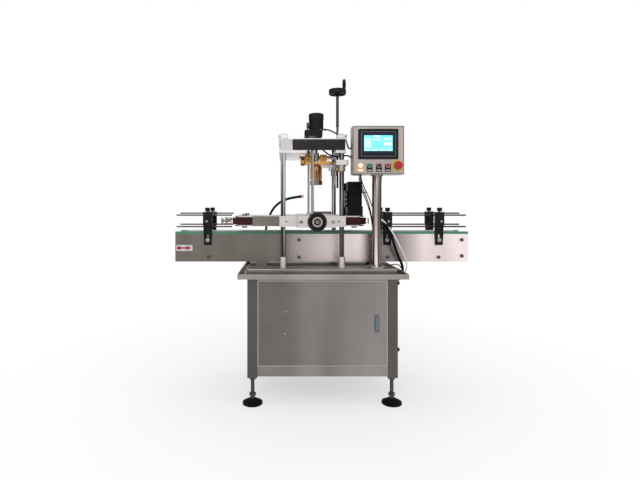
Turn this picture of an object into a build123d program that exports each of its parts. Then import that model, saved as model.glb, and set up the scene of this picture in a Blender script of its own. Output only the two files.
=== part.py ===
from build123d import *
import math
import os

# Inline bottle capping machine. A stainless cabinet on levelling feet carries a drip tray, a slat chain
# conveyor that runs through the machine, a four-column capping frame with a motor-driven chuck head on a
# lifting carriage, two belt units that grip the bottles under the head, and an operator box on a pole.
# Millimetres. X runs along the conveyor, -Y is the operator's side, Z=0 is the floor. The origin is on the
# floor under the conveyor's middle.

# Fits and gaps
running = 0.05  # radial clearance of a shaft or slide in its bore
soft_gap = 0.3  # gap between pieces that pass each other without bearing
shaft_room = 1.0  # round a shaft where it goes through a plate
sheet = 1.5  # stainless sheet of the cabinet

# Cabinet frame and feet
cabinet_width = 750.0
cabinet_depth = 490.0
cabinet_x = -10.0  # the cabinet's middle, a little left of the conveyor's
post_size = 50.0
post_wall = 2.5
post_bottom = 135.0
frame_top = 633.0
rail_bottom = 143.0
rail_height = 49.0
top_rail_height = 11.5
end_plate = 6.0
foot_inset = 25.0  # from the cabinet's corner to the foot's stud, along both sides
stud_radius = 9.0
stud_top = 175.0
nut_across_flats = 30.0
nut_height = 13.0
lower_nut_z = 40.0
pad_radius = 50.0
pad_rim = 8.0
pad_height = 24.0
pad_neck_radius = 22.0
stud_seat = 12.0  # how deep the stud stands in the pad

# Door
door_gap = 1.5
door_thickness = 20.0
door_lip = 18.0
hinge_inset = 4.0  # from the door's corner to the pivot pin, along both faces
pin_radius = 2.0
pin_reach = 7.0
latch_x = 260.5
latch_z = 406.0
latch_width = 27.0
latch_height = 90.0
latch_plate_thickness = 2.0
latch_shank_radius = 6.0
cam_length = 57.0
cam_thickness = 3.0
cam_width = 18.0
lever_length = 72.0
lever_width = 15.0
lever_thickness = 8.0
strike_width = 24.0
strike_height = 50.0
strike_thickness = 3.0
door_screws = ((-192.0, 466.0), (175.0, 463.0), (-197.0, 356.0), (170.0, 353.0))

# Drip tray with its raised deck
tray_width = 840.0
tray_depth = 580.0
tray_lip = 25.0
tray_sheet = 2.0
hem_width = 8.0
deck_width = 760.0
deck_depth = 456.0
deck_top = 675.0
deck_sheet = 3.0
deck_corner = 10.0
deck_edge = 4.0

# Slat chain conveyor
conveyor_length = 1568.0
conveyor_width = 150.0
side_bottom = 694.0
side_top = 842.0
side_sheet = 2.5
side_flange = 30.0
strip_top = 855.0
chain_top = 857.0
slat_width = 114.3
slat_thickness = 3.2
slat_gap = 1.2
chain_pitch = 38.1  # nominal, drawn to the conveyor's length below
chain_end_gap = 1.3  # from the chain's turn to the conveyor's end
sprocket_teeth = 8
barrel_radius = 6.0
barrel_width = 42.0
pitch_depth = 9.0  # from the slats' top down to the line of the hinge pins
sprocket_width = 36.0
tooth_clearance = 2.0
tooth_depth = 7.0
shaft_radius = 12.5
bearing_radius = 26.0
bearing_width = 16.0
cross_bar_radius = 10.0
return_roller_width = 90.0
low_bar_z = 718.0
high_bar_z = 811.0
left_bar_inset = 178.0  # from the conveyor's end
right_bar_inset = 159.0
middle_bars_x = (-121.0, 353.0)
end_bolt_inset = 35.0
end_bolts_z = (811.0, 725.0)
bolt_flats = 17.0
bolt_height = 7.0
washer_radius = 13.0
washer_thickness = 2.0
conveyor_feet_x = (-320.0, 290.0)
conveyor_foot_length = 60.0
conveyor_foot_width = 45.0
conveyor_foot_wall = 5.0
bearing_plate_reach = 20.0  # the wide strip stops this far short of the end shafts
strip_width = 17.0
conveyor_motor_size = 90.0
conveyor_gearhead = 60.0
conveyor_motor_length = 120.0
motor_groove_pitch = 20.0
motor_groove = 8.0
motor_groove_depth = 3.0

# Guide rails over the conveyor and their brackets
rail_radius = 4.0
near_rail_y = -45.0
far_rail_y = 45.0
near_rail_z = (880.0, 942.0)
far_rail_z = (889.0, 951.0)
left_rail_end = -483.0
right_rail_end = 324.0
left_bracket_inset = 175.0  # from the conveyor's end
right_bracket_inset = 157.0
middle_bracket_x = 350.0
bracket_width = 48.0
bracket_foot_width = 39.0
bracket_bottom = 783.0
bracket_top = 960.0
blade_thickness = 8.0
head_depth = 34.0
head_height = 72.0
slot_z = (799.0, 841.0)
slot_radius = 6.0
bracket_bolt_z = 810.0
arm_radius = 6.0
arm_overhang = 18.0
rail_clamp = 16.0
knob_radius = 13.0
knob_height = 20.0
knob_gap = 3.0
knob_lobes = 5
clamp_screw_radius = 4.0
clamp_screw_inset = 5.0  # from the blade's face to the knob's axis
bracket_washer_radius = 11.0
bracket_bolt_flats = 13.0

# Capping frame
column_radius = 12.5
column_spacing_x = 300.0
column_spacing_y = 360.0
capper_x = -56.4
column_top = 1356.0
socket_radius = 18.0
socket_height = 57.0
head_plate_width = 340.0
head_plate_depth = 400.0
lower_plate_z = 1262.0
lower_plate = 14.0
upper_plate_z = 1328.0
upper_plate = 8.0
clamp_block = 49.0
clamp_height = 20.0
clamp_slit = 3.0
notch_left = -116.0
notch_right = 72.0
notch_rear = 75.0
notch_step_y = -95.0
notch_mouth_left = -85.0
notch_mouth_right = 60.0
lift_bearing_radius = 18.0
lift_bearing_height = 14.0
column_cap_radius = 9.0
column_cap_height = 6.0
fascia_height = 55.0
fascia_thickness = 2.0
fascia_split_x = -158.0

# Head motor above the frame
head_x = -24.0
gearbox_offset = -16.0
gearbox_width = 97.0
gearbox_depth = 90.0
gearbox_z = 1371.0
gearbox_height = 35.0
head_motor_radius = 37.5
head_motor_height = 60.0
motor_cap_radius = 41.5
motor_cap_height = 34.0
motor_ribs = 24
motor_rib_depth = 2.5
motor_rib_width = 2.4
terminal_width = 32.0
terminal_height = 32.0
terminal_reach = 12.0
standoff_radius = 5.0
standoff_inset = 14.0
drive_shaft_radius = 8.0
drive_shaft_bottom = 1192.0

# Lift screw with its handwheel
lift_x = 93.6
lift_screw_radius = 6.0
lift_screw_bottom = 1090.0
sleeve_radius = 8.0
sleeve_bottom = 1428.0
lift_wheel_z = 1599.0
lift_hub_radius = 19.0
lift_hub_height = 20.0
lift_rim_radius = 47.5
lift_collar_radius = 11.0
lift_collar_height = 10.0
lift_seat = 30.0  # how far the screw stands in the wheel's hub
rim_thickness = 15.0
rim_round = 6.0
spoke_width = 10.0
spoke_height = 8.0
grip_radius = 10.0
grip_length = 52.0
grip_offset = 37.0
grip_pin_radius = 4.0
grip_end = 3.5  # solid end over the pin

# Lifting carriage
bar_width = 64.0
bar_depth = 410.0
bar_z = 1201.0
bar_height = 25.0
bush_radius = 18.0
bush_height = 32.0
lift_nut_radius = 14.0
lift_nut_height = 14.0
yoke_left = -88.0
yoke_right = 57.0
yoke_depth = 96.0
yoke_thickness = 14.0
yoke_block_left = 14.0
yoke_block_height = 16.0
packing_width = 60.0
yoke_upright_depth = 44.0
left_upright_right = -45.0
left_upright_height = 38.0
left_tongue_right = -55.0
left_tongue_depth = 28.0
left_tongue_height = 24.0
right_upright_left = -5.0
right_upright_right = 33.0
right_upright_height = 41.0
drum_radius = 26.0
drum_length = 22.0
drum_rise = 6.0  # of its axis over the plate

# Chuck head
spindle_radius = 14.0
spindle_bottom = 1160.0
coupling_radius = 16.5
coupling_height = 39.0
coupling_z = 1245.0
chuck_body_radius = 23.0
chuck_z = 1186.0
chuck_height = 28.0
finger_bottom = 1131.0
finger_outer = 33.0
finger_width = 26.0
finger_pivot_z = 1196.0
pivot_radius = 20.0
pivot_pin_radius = 2.5
finger_tab = 8.0
finger_wall = 7.0
finger_turn = -90.0  # the first finger faces the operator
stem_radius = 10.0
spindle_floor = 12.0
key_width = 4.0
key_rise = 2.5
cap_disc_radius = 34.0
cap_disc_height = 22.0
cap_disc_bottom = 1107.5
cap_mouth_radius = 19.0
cap_mouth_depth = 16.0
cap_slot_width = 6.0
cap_slot_height = 12.0

# Belt frame between the columns
crossbar_z = 886.0
crossbar_height = 55.0
crossbar_thickness = 36.0
hanger_x = -56.0
front_hanger_radius = 8.0
rear_hanger_radius = 6.0
slide_rod_radius = 8.0
hanger_seat = 16.0
hanger_nut_height = 10.0
scale_left = -24.0
scale_right = 78.0
scale_height = 18.0
slide_rod_x = (-116.0, 44.0)
slide_head_radius = 9.0
slide_head_height = 8.0
slide_head_flats = 9.0
slide_z = 912.0
front_plate_width = 190.0
front_plate_height = 58.0
front_plate_thickness = 10.0
front_plate_y = -223.0  # its rear face
width_x = -36.0
width_screw_radius = 8.0
width_wheel_radius = 47.5
width_wheel_front = -252.0
width_wheel_thickness = 16.0
width_hub_radius = 17.0
bright_ring_radius = 25.5
width_bolt_flats = 18.0
width_grip_turn = 225.0
width_grip_offset = 36.0
width_grip_length = 32.0

# Belt units
unit_y = 87.0
pulley_x = (-412.0, 172.0)
belt_radius = 62.0
belt_thickness = 6.0
belt_bottom = 896.0
belt_height = 34.0
unit_plate = 6.0
unit_plate_gap = 4.0
unit_plate_radius = 50.0
cover_left = -365.0
cover_right = 118.0
cover_sheet = 1.5
yoke_web = 4.0
unit_yoke_side = 20.0
unit_yoke_inset = 15.0  # of the yoke's inner edge from the belt's middle
unit_travel_in = 20.0
rod_overhang = 4.0
unit_shaft_radius = 8.0
spacers_x = (-300.0, -190.0, -40.0, 85.0)
spacer_radius = 9.0
pulley_rim = 8.0
pulley_hub_radius = 20.0
pulley_recess = 8.0
drive_shaft_reach = 30.0
unit_nut_flats = 24.0
unit_nut_height = 10.0
belt_motor_size = 80.0
gearhead_height = 50.0
belt_motor_height = 130.0
belt_motor_corner = 16.0
belt_motor_groove = 6.0
belt_motor_groove_depth = 3.0
belt_terminal_width = 36.0
belt_terminal_height = 50.0

# Operator box on its pole
box_width = 256.0
box_height = 242.0
box_depth = 100.0
box_x = 269.5
box_bottom = 1150.0
box_front = -240.0
box_sheet = 1.5
box_bevel = 22.0
pole_radius = 24.0
pole_wall = 2.0
pole_x = 277.0
pole_y = -163.0
pole_flange_radius = 50.0
pole_flange = 8.0
pole_plate = 4.0
pole_sleeve = 30.0
pole_bolt_flats = 13.0
pole_bolt_height = 7.0
panel_width = 200.0
panel_height = 151.0
panel_z = 1301.0
panel_x = 268.0
panel_thickness = 7.0
panel_case_depth = 38.0
screen_width = 154.0
screen_height = 86.0
screen_rise = 4.0
button_row_z = 1194.0
legend_width = 30.0
legend_height = 40.0
legend_z = 1183.0
lamp_x = 179.0
green_x = 225.0
maroon_x = 272.0
red_x = 316.0
stop_x = 363.0
button_radius = 11.0
cap_radius = 9.5
collar_radius = 12.5
stop_radius = 20.5
stop_collar_radius = 29.0
stop_height = 15.0
stop_front = 30.0  # from the box to the mushroom's face

# Sensor arm, tubes and leads
arm_tube_radius = 4.5
air_tube_radius = 3.5
lead_radius = 4.0
sleeve_tube_radius = 7.5
white_tube_radius = 5.0
gland_y = 0.0
gland_z = 260.0
gland_thread = 8.0
fitting_y = -100.0
fitting_z = 597.0
white_fitting_y = -72.0
white_fitting_z = 604.0
pole_outlets = (902.0, 926.0)
box_entries = ((-178.0, 1286.0), (-192.0, 1240.0))
bundle_entries = ((184.0, -170.0), (196.0, -158.0))
air_routes = (
    (
        (17, 0, 1392), (44, -14, 1396), (74, -42, 1388), (104, -84, 1368), (122, -126, 1340),
        (124, -158, 1312), (125, -174, 1292), (132, -178, 1286), (141.2, -178, 1286),
    ),
    (
        (-12, -76, 1322), (-6, -77, 1306), (14, -79, 1284), (42, -84, 1262),
        (72, -104, 1252), (98, -140, 1248), (114, -174, 1243), (126, -191, 1240), (141.2, -192, 1240),
    ),
)
bundle_routes = (
    (
        (184, -170, 1150), (185, -170, 1122), (196, -164, 1084), (218, -152, 1036), (240, -138, 984),
        (256, -128, 926), (264, -118, 870), (268, -109, 818), (270, -104, 762), (270, -104, 675),
    ),
    (
        (196, -158, 1150), (198, -158, 1124), (210, -152, 1088), (230, -141, 1042), (250, -129, 990),
        (264, -116, 932), (274, -106, 874), (279, -100, 820), (281, -98, 762), (281, -98, 675),
    ),
)
sleeve_route = (
    (296, -163, 902), (312, -163, 902), (338, -152, 892), (362, -140, 858), (382, -130, 806), (402, -120, 750),
    (418, -112, 700), (425, -106, 656), (420, -101, 618), (398, -100, 597), (377.2, -100, 597),
)
white_route = (
    (296, -163, 926), (314, -163, 926), (346, -148, 910), (374, -132, 868), (396, -118, 810),
    (416, -106, 752), (431, -94, 702), (436, -84, 656), (426, -74, 622), (400, -72, 604), (377.2, -72, 604),
)
sensor_route = (
    (-322, 176, 687), (-322, 175, 730), (-319, 174, 785), (-311, 173, 838), (-301, 172, 888), (-286, 171, 938),
    (-262, 164, 980), (-228, 152, 1012), (-186, 138, 1030), (-140, 126, 1040), (-95, 118, 1045),
)


# Plain shapes
def block(x0, x1, y0, y1, z0, z1):
    """Box between two corners."""
    centre = Pos((x0 + x1) / 2, (y0 + y1) / 2, (z0 + z1) / 2)
    return centre * Box(x1 - x0, y1 - y0, z1 - z0)


def rod(x, y, z0, z1, radius):
    """Upright cylinder."""
    return Pos(x, y, (z0 + z1) / 2) * Cylinder(radius, z1 - z0)


def rod_x(x0, x1, y, z, radius):
    """Cylinder along X."""
    return Pos((x0 + x1) / 2, y, z) * Rot(0, 90, 0) * Cylinder(radius, x1 - x0)


def rod_y(x, y0, y1, z, radius):
    """Cylinder along Y."""
    return Pos(x, (y0 + y1) / 2, z) * Rot(90, 0, 0) * Cylinder(radius, y1 - y0)


def ring(x, y, z0, z1, outer, inner):
    """Upright tube."""
    return rod(x, y, z0, z1, outer) - rod(x, y, z0, z1, inner)


def ring_y(x, y0, y1, z, outer, inner):
    """Tube along Y."""
    return rod_y(x, y0, y1, z, outer) - rod_y(x, y0, y1, z, inner)


def hexagon(x, y, z0, z1, across_flats):
    """Upright hexagonal nut or bolt head."""
    outline = RegularPolygon(across_flats / 2, 6, major_radius=False)
    return Pos(x, y, z0) * extrude(outline, z1 - z0)


def hexagon_y(x, y0, y1, z, across_flats):
    """Hexagonal nut or bolt head with its axis along Y."""
    outline = RegularPolygon(across_flats / 2, 6, major_radius=False)
    return Pos(x, y1, z) * Rot(90, 0, 0) * extrude(outline, y1 - y0)


def across(outline, y0, y1):
    """Extrude an X-Z outline from y0 to y1."""
    return Pos(0, y1, 0) * Rot(90, 0, 0) * extrude(outline, y1 - y0, dir=(0, 0, 1))


def along(outline, x0, x1):
    """Extrude a Y-Z outline from x0 to x1."""
    return extrude(Plane.YZ.offset(x0) * outline, x1 - x0, dir=(1, 0, 0))


def mirrored(pieces):
    """The same pieces on the other side of the conveyor."""
    return [mirror(piece, about=Plane.XZ) for piece in pieces]


# Cabinet corners, worked out once
cabinet_left = cabinet_x - cabinet_width / 2
cabinet_right = cabinet_x + cabinet_width / 2
cabinet_front = -cabinet_depth / 2
cabinet_back = cabinet_depth / 2
rail_top = rail_bottom + rail_height
top_rail_bottom = frame_top - top_rail_height
door_left = cabinet_left + post_size + door_gap
door_right = cabinet_right - post_size - door_gap
door_bottom = rail_top + door_gap
door_top = top_rail_bottom - door_gap
hinge_x = door_left + hinge_inset
hinge_y = cabinet_front + hinge_inset
strike_y = cabinet_front + door_thickness + soft_gap
foot_places = [
    (x, y)
    for x in (cabinet_left + foot_inset, cabinet_right - foot_inset)
    for y in (cabinet_front + foot_inset, cabinet_back - foot_inset)
]


def cabinet_frame():
    """Four square-tube posts with welded end plates, tube rails below and flat rails under the tray."""
    pieces = []
    half = post_size / 2
    for x, y in foot_places:
        post = block(x - half, x + half, y - half, y + half, post_bottom, frame_top)
        inner = half - post_wall
        post -= block(x - inner, x + inner, y - inner, y + inner, post_bottom + end_plate, frame_top)
        post -= rod(x, y, post_bottom, post_bottom + end_plate, stud_radius)
        pieces.append(post)
    x0 = cabinet_left + post_size
    x1 = cabinet_right - post_size
    y0 = cabinet_front + post_size
    y1 = cabinet_back - post_size
    pivot_hole = rod(hinge_x, hinge_y, rail_bottom + post_wall, frame_top - post_wall, pin_radius + running)
    for front in (cabinet_front, y1):
        tube = block(x0, x1, front, front + post_size, rail_bottom, rail_top)
        hollow_y = (front + post_wall, front + post_size - post_wall)
        tube -= block(x0, x1, *hollow_y, rail_bottom + post_wall, rail_top - post_wall)
        flat = block(x0, x1, front, front + post_size, top_rail_bottom, frame_top)
        pieces += [tube - pivot_hole, flat - pivot_hole]
    for left in (cabinet_left, x1):
        tube = block(left, left + post_size, y0, y1, rail_bottom, rail_top)
        hollow_x = (left + post_wall, left + post_size - post_wall)
        tube -= block(*hollow_x, y0, y1, rail_bottom + post_wall, rail_top - post_wall)
        pieces += [tube, block(left, left + post_size, y0, y1, top_rail_bottom, frame_top)]
    low = latch_z - strike_height / 2
    strike = block(x1 - strike_width, x1, strike_y, strike_y + strike_thickness, low, low + strike_height)
    pieces.append(fillet(strike.edges().filter_by(Axis.Y).group_by(Axis.X)[0], 4))
    return pieces


def cabinet_panels():
    """Side, rear and floor sheets between the posts, with the hole for the lead-in on the right."""
    y0 = cabinet_front + post_size
    y1 = cabinet_back - post_size
    left = block(cabinet_left + sheet, cabinet_left + 2 * sheet, y0, y1, rail_top, top_rail_bottom)
    right = block(cabinet_right - 2 * sheet, cabinet_right - sheet, y0, y1, rail_top, top_rail_bottom)
    entries = (
        (gland_y, gland_z, gland_thread, 13.5),
        (fitting_y, fitting_z, sleeve_tube_radius, 12.0),
        (white_fitting_y, white_fitting_z, white_tube_radius, 9.0),
    )
    nuts = []
    for y, z, bore, size in entries:
        right -= rod_x(cabinet_right - 2 * sheet, cabinet_right - sheet, y, z, bore + 2)
        gland = rod_x(cabinet_right - 12, cabinet_right + 12, y, z, bore + 2)
        gland += rod_x(cabinet_right - sheet, cabinet_right + 8, y, z, size)
        gland = chamfer(gland.edges().filter_by(GeomType.CIRCLE).group_by(Axis.X)[-1], 1)
        nuts.append(gland - rod_x(cabinet_right - 12, cabinet_right + 12, y, z, bore))
    x0 = cabinet_left + post_size
    x1 = cabinet_right - post_size
    rear = block(x0, x1, cabinet_back - 2 * sheet, cabinet_back - sheet, rail_top, top_rail_bottom)
    floor_front = cabinet_front + door_thickness + 2 * door_gap
    floor = block(x0, x1, floor_front, y1 + post_size / 2, rail_top, rail_top + sheet)
    return [left, right, rear, floor] + nuts


def door():
    """Folded pan between the posts, with pivot pins at its left, the latch plate and four dome screws."""
    back = cabinet_front + door_thickness
    pan = block(door_left, door_right, cabinet_front, back, door_bottom, door_top)
    pan = fillet(pan.edges().filter_by(Axis.Z).group_by(Axis.Y)[0], door_gap + sheet)
    pan -= block(
        door_left + sheet, door_right - sheet, cabinet_front + sheet, back - sheet,
        door_bottom + sheet, door_top - sheet,
    )
    pan -= block(
        door_left + door_lip, door_right - door_lip, back - sheet, back,
        door_bottom + door_lip, door_top - door_lip,
    )
    pan -= rod_y(latch_x, cabinet_front, cabinet_front + sheet, latch_z, latch_shank_radius + running)
    pins = [
        rod(hinge_x, hinge_y, door_bottom - pin_reach, door_bottom + sheet, pin_radius),
        rod(hinge_x, hinge_y, door_top - sheet, door_top + pin_reach, pin_radius),
    ]
    pan = pan + pins[0] + pins[1]
    plate_front = cabinet_front - latch_plate_thickness
    outline = Pos(latch_x, latch_z) * RectangleRounded(latch_width, latch_height, 4)
    plate = across(outline, plate_front, cabinet_front)
    plate -= rod_y(latch_x, plate_front, cabinet_front, latch_z, latch_shank_radius + running)
    pieces = [pan, plate]
    for x, z in door_screws:
        head = rod_y(x, cabinet_front - 3, cabinet_front, z, 5)
        pieces.append(fillet(head.edges().sort_by(Axis.Y)[0], 2.5))
    return pieces


def door_latch():
    """Turning lever on the latch plate, with its shank and the cam blade behind the door's skin."""
    plate_front = cabinet_front - latch_plate_thickness
    lever_top = plate_front - soft_gap
    lever_outline = Pos(latch_x, latch_z) * SlotOverall(lever_length, lever_width, rotation=90)
    lever = across(lever_outline, lever_top - lever_thickness, lever_top)
    lever = fillet(lever.faces().sort_by(Axis.Y)[0].edges(), 3)
    cam_y = strike_y + strike_thickness + soft_gap
    shank = rod_y(latch_x, lever_top, cam_y, latch_z, latch_shank_radius)
    cam_middle = latch_z - (cam_length - cam_width) / 2
    cam_outline = Pos(latch_x, cam_middle) * RectangleRounded(cam_width, cam_length, 5)
    cam = across(cam_outline, cam_y, cam_y + cam_thickness)
    nut = hexagon_y(latch_x, cam_y + cam_thickness, cam_y + 3 * cam_thickness, latch_z, bolt_flats)
    return [lever + shank + cam + nut]


def table_tray():
    """Pressed drip tray with a hemmed lip, a gutter and a raised deck, drilled for what stands on it."""
    x0 = cabinet_x - tray_width / 2
    x1 = cabinet_x + tray_width / 2
    y0 = -tray_depth / 2
    y1 = tray_depth / 2
    tray = block(x0, x1, y0, y1, frame_top, frame_top + tray_lip)
    tray -= block(
        x0 + tray_sheet, x1 - tray_sheet, y0 + tray_sheet, y1 - tray_sheet,
        frame_top + tray_sheet, frame_top + tray_lip - tray_sheet,
    )
    tray -= block(
        x0 + hem_width, x1 - hem_width, y0 + hem_width, y1 - hem_width,
        frame_top + tray_lip - tray_sheet, frame_top + tray_lip,
    )
    corners = tray.edges().filter_by(Axis.Z).group_by(Axis.X)
    tray = fillet(corners[0] + corners[-1], hem_width - tray_sheet)
    dx = deck_width / 2
    dy = deck_depth / 2
    deck = block(cabinet_x - dx, cabinet_x + dx, -dy, dy, frame_top, deck_top)
    upright = deck.edges().filter_by(Axis.Z)
    deck = fillet(upright, deck_corner)
    deck = fillet(deck.faces().sort_by(Axis.Z)[-1].edges(), deck_edge)
    inner_x = dx - deck_sheet
    inner_y = dy - deck_sheet
    under = block(
        cabinet_x - inner_x, cabinet_x + inner_x, -inner_y, inner_y, frame_top, deck_top - deck_sheet
    )
    return [tray + deck - fillet(under.edges().filter_by(Axis.Z), deck_corner - deck_sheet)]


def levelling_feet():
    """Four threaded studs with two nuts each, standing in domed rubber pads."""
    pieces = []
    for x, y in foot_places:
        profile = Polyline((0, 0), (pad_radius, 0), (pad_radius, pad_rim))
        shoulder = (pad_radius * 0.55, pad_height - pad_rim * 0.6)
        neck = (pad_neck_radius, pad_height)
        dome = ThreePointArc((pad_radius, pad_rim), shoulder, neck)
        close = Polyline(neck, (0, pad_height), (0, 0))
        pad = Pos(x, y, 0) * revolve(Rot(90, 0, 0) * make_face(profile + dome + close), Axis.Z)
        pad -= rod(x, y, pad_height - stud_seat, pad_height, stud_radius)
        stud = rod(x, y, pad_height - stud_seat, stud_top, stud_radius)
        jam_nut = hexagon(x, y, lower_nut_z, lower_nut_z + nut_height, nut_across_flats)
        post_nut = hexagon(x, y, post_bottom - nut_height, post_bottom, nut_across_flats)
        inside = post_bottom + end_plate
        upper_nut = hexagon(x, y, inside, inside + nut_height, nut_across_flats)
        bore = rod(x, y, 0, stud_top, stud_radius)
        pieces += [pad, stud, jam_nut - bore, post_nut - bore, upper_nut - bore]
    return pieces


# Conveyor levels, worked out once. The chain takes a whole number of links, and its pitch fills the length.
half_length = conveyor_length / 2
wheels_in_pitches = 1 / math.sin(math.pi / sprocket_teeth)  # one end wheel's pitch diameter
chain_span = conveyor_length - 2 * (chain_end_gap + pitch_depth)
straight_pitches = round(chain_span / chain_pitch - wheels_in_pitches)
pitch = chain_span / (straight_pitches + wheels_in_pitches)
sprocket_radius = pitch * wheels_in_pitches / 2
shaft_z = chain_top - pitch_depth - sprocket_radius
return_z = shaft_z - sprocket_radius
shaft_x = straight_pitches * pitch / 2
side_outer = conveyor_width / 2
side_inner = side_outer - side_sheet
return_roller_top = return_z - pitch_depth - soft_gap
carrying_bars_x = (left_bar_inset - half_length, *middle_bars_x, half_length - right_bar_inset)
low_bars = [(x, low_bar_z) for x in carrying_bars_x]
cross_bars = low_bars + [(middle_bars_x[0], high_bar_z)]
end_bolts = [(half_length - end_bolt_inset, z) for z in end_bolts_z]
left_brackets = (left_bracket_inset - half_length,)
right_brackets = (middle_bracket_x, half_length - right_bracket_inset)


def side_plates():
    """Two long side plates, flanged inwards top and bottom, with bearing bosses for the end shafts."""
    outer = side_outer
    upper = side_top - side_sheet
    plate = block(-half_length, half_length, -outer, -side_inner, side_bottom, side_top)
    plate += block(-half_length, half_length, -outer, -outer + side_flange, upper, side_top)
    foot = side_bottom + side_sheet
    plate += block(-half_length, half_length, -outer, -outer + side_flange / 2, side_bottom, foot)
    clear = sprocket_radius + side_flange
    for x in (-shaft_x, shaft_x):
        plate -= block(x - clear, x + clear, -outer + strip_width, -outer + side_flange, upper, side_top)
        plate -= rod_y(x, -outer, -side_inner, shaft_z, bearing_radius)
        plate += ring_y(x, -outer, -outer + bearing_width, shaft_z, bearing_radius, shaft_radius + running)
    return [plate] + mirrored([plate])


def cross_members():
    """Bars between the side plates with bolts outside, return rollers, and feet that stand on the deck."""
    pieces = []
    outer = side_outer
    seat = outer + washer_thickness
    for x, z in cross_bars + end_bolts:
        bolt = rod_y(x, outer, seat, z, washer_radius)
        bolt += hexagon_y(x, seat, seat + bolt_height, z, bolt_flats)
        pieces += mirrored([bolt])
        if (x, z) in cross_bars:
            pieces.append(bolt)
    for x, z in cross_bars:
        pieces.append(rod_y(x, -side_inner, side_inner, z, cross_bar_radius))
    for x, z in low_bars:
        half = return_roller_width / 2
        pieces.append(ring_y(x, -half, half, z, return_roller_top - z, cross_bar_radius))
    for x in conveyor_feet_x:
        half = conveyor_foot_length / 2
        wall = conveyor_foot_wall
        inner = -outer + conveyor_foot_width
        foot = block(x - half, x + half, -outer, inner, deck_top, side_bottom)
        foot -= block(x - half, x + half, -outer + wall, inner - wall, deck_top + wall, side_bottom - wall)
        pieces += [foot] + mirrored([foot])
    return pieces


def wear_strips():
    """Green guide strips on the plate tops, stepped to carry the slats between the end wheels."""
    outer = side_outer
    slat_under = chain_top - slat_thickness
    end = shaft_x - bearing_plate_reach
    profile = [
        (-outer, side_top),
        (-outer + side_flange, side_top),
        (-outer + side_flange, slat_under),
        (-slat_width / 2 - 1, slat_under),
        (-slat_width / 2 - 1, strip_top),
        (-outer, strip_top),
    ]
    strip = along(Polygon(*profile, align=None), -end, end)
    for x0, x1 in ((-half_length, -end), (end, half_length)):
        strip += block(x0, x1, -outer, -outer + strip_width, side_top, strip_top)
    return [strip] + mirrored([strip])


def slat():
    """One link: a flat slat with the hinge barrel at its first pin, lying along +X from the origin."""
    half = slat_width / 2
    under = pitch_depth - slat_thickness
    top = block(slat_gap / 2, pitch - slat_gap / 2, -half, half, under, pitch_depth)
    side = barrel_radius * 0.8
    outline = [
        (-side, -side), (side, -side), (pitch - side, -side / 2), (pitch - side, side),
        (side, under), (side / 4, under), (-side, side),
    ]
    web = across(Polygon(*outline, align=None), -barrel_width / 2, barrel_width / 2)
    return top + web


def slat_chain():
    """Endless chain: straight runs on the strips and below them, and half a turn round each sprocket."""
    link = slat()
    pieces = []
    step = 360 / sprocket_teeth
    for i in range(straight_pitches):
        pieces.append(Pos(-shaft_x + i * pitch, 0, shaft_z + sprocket_radius) * link)
        pieces.append(Pos(shaft_x - i * pitch, 0, return_z) * Rot(0, 180, 0) * link)
    for i in range(sprocket_teeth // 2):
        angle = 90 - i * step
        for x, turn in ((shaft_x, 0), (-shaft_x, 180)):
            start = math.radians(angle + turn)
            pin = Pos(x + sprocket_radius * math.cos(start), 0, shaft_z + sprocket_radius * math.sin(start))
            pieces.append(pin * Rot(0, step / 2 + i * step + turn, 0) * link)
    return pieces


def end_wheel(x, drive):
    """Toothed chain wheel on its shaft. The drive shaft is longer on the motor's side."""
    outline = []
    for i in range(2 * sprocket_teeth):
        turn = math.pi * i / sprocket_teeth
        reach = sprocket_radius - barrel_radius - (tooth_clearance if i % 2 else tooth_depth)
        outline.append((reach * math.cos(turn), reach * math.sin(turn)))
    half = sprocket_width / 2
    wheel = Pos(x, 0, shaft_z) * across(Polygon(*outline, align=None), -half, half)
    far_end = side_outer + conveyor_gearhead / 2 if drive else side_outer
    return [wheel + rod_y(x, -side_outer, far_end, shaft_z, shaft_radius)]


def conveyor_motor():
    """Gearmotor bolted to the far side plate, its hollow bore round the drive shaft."""
    outer = side_outer
    half = conveyor_motor_size / 2
    y1 = outer + conveyor_gearhead
    head = block(shaft_x - half, shaft_x + half, outer, y1, shaft_z - half, shaft_z + half)
    head = fillet(head.edges().filter_by(Axis.Y), 8)
    bore_end = outer + conveyor_gearhead * 5 / 6
    head -= rod_y(shaft_x, outer, bore_end, shaft_z, shaft_radius + running)
    radius = half - motor_groove_depth / 2
    motor = rod_y(shaft_x, y1, y1 + conveyor_motor_length, shaft_z, radius)
    for i in range(3):
        groove = y1 + motor_groove_pitch * (1 + i)
        motor -= ring_y(shaft_x, groove, groove + motor_groove, shaft_z, half, radius - motor_groove_depth)
    return [head, fillet(motor.edges().sort_by(Axis.Y)[-1], 6)]


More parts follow.
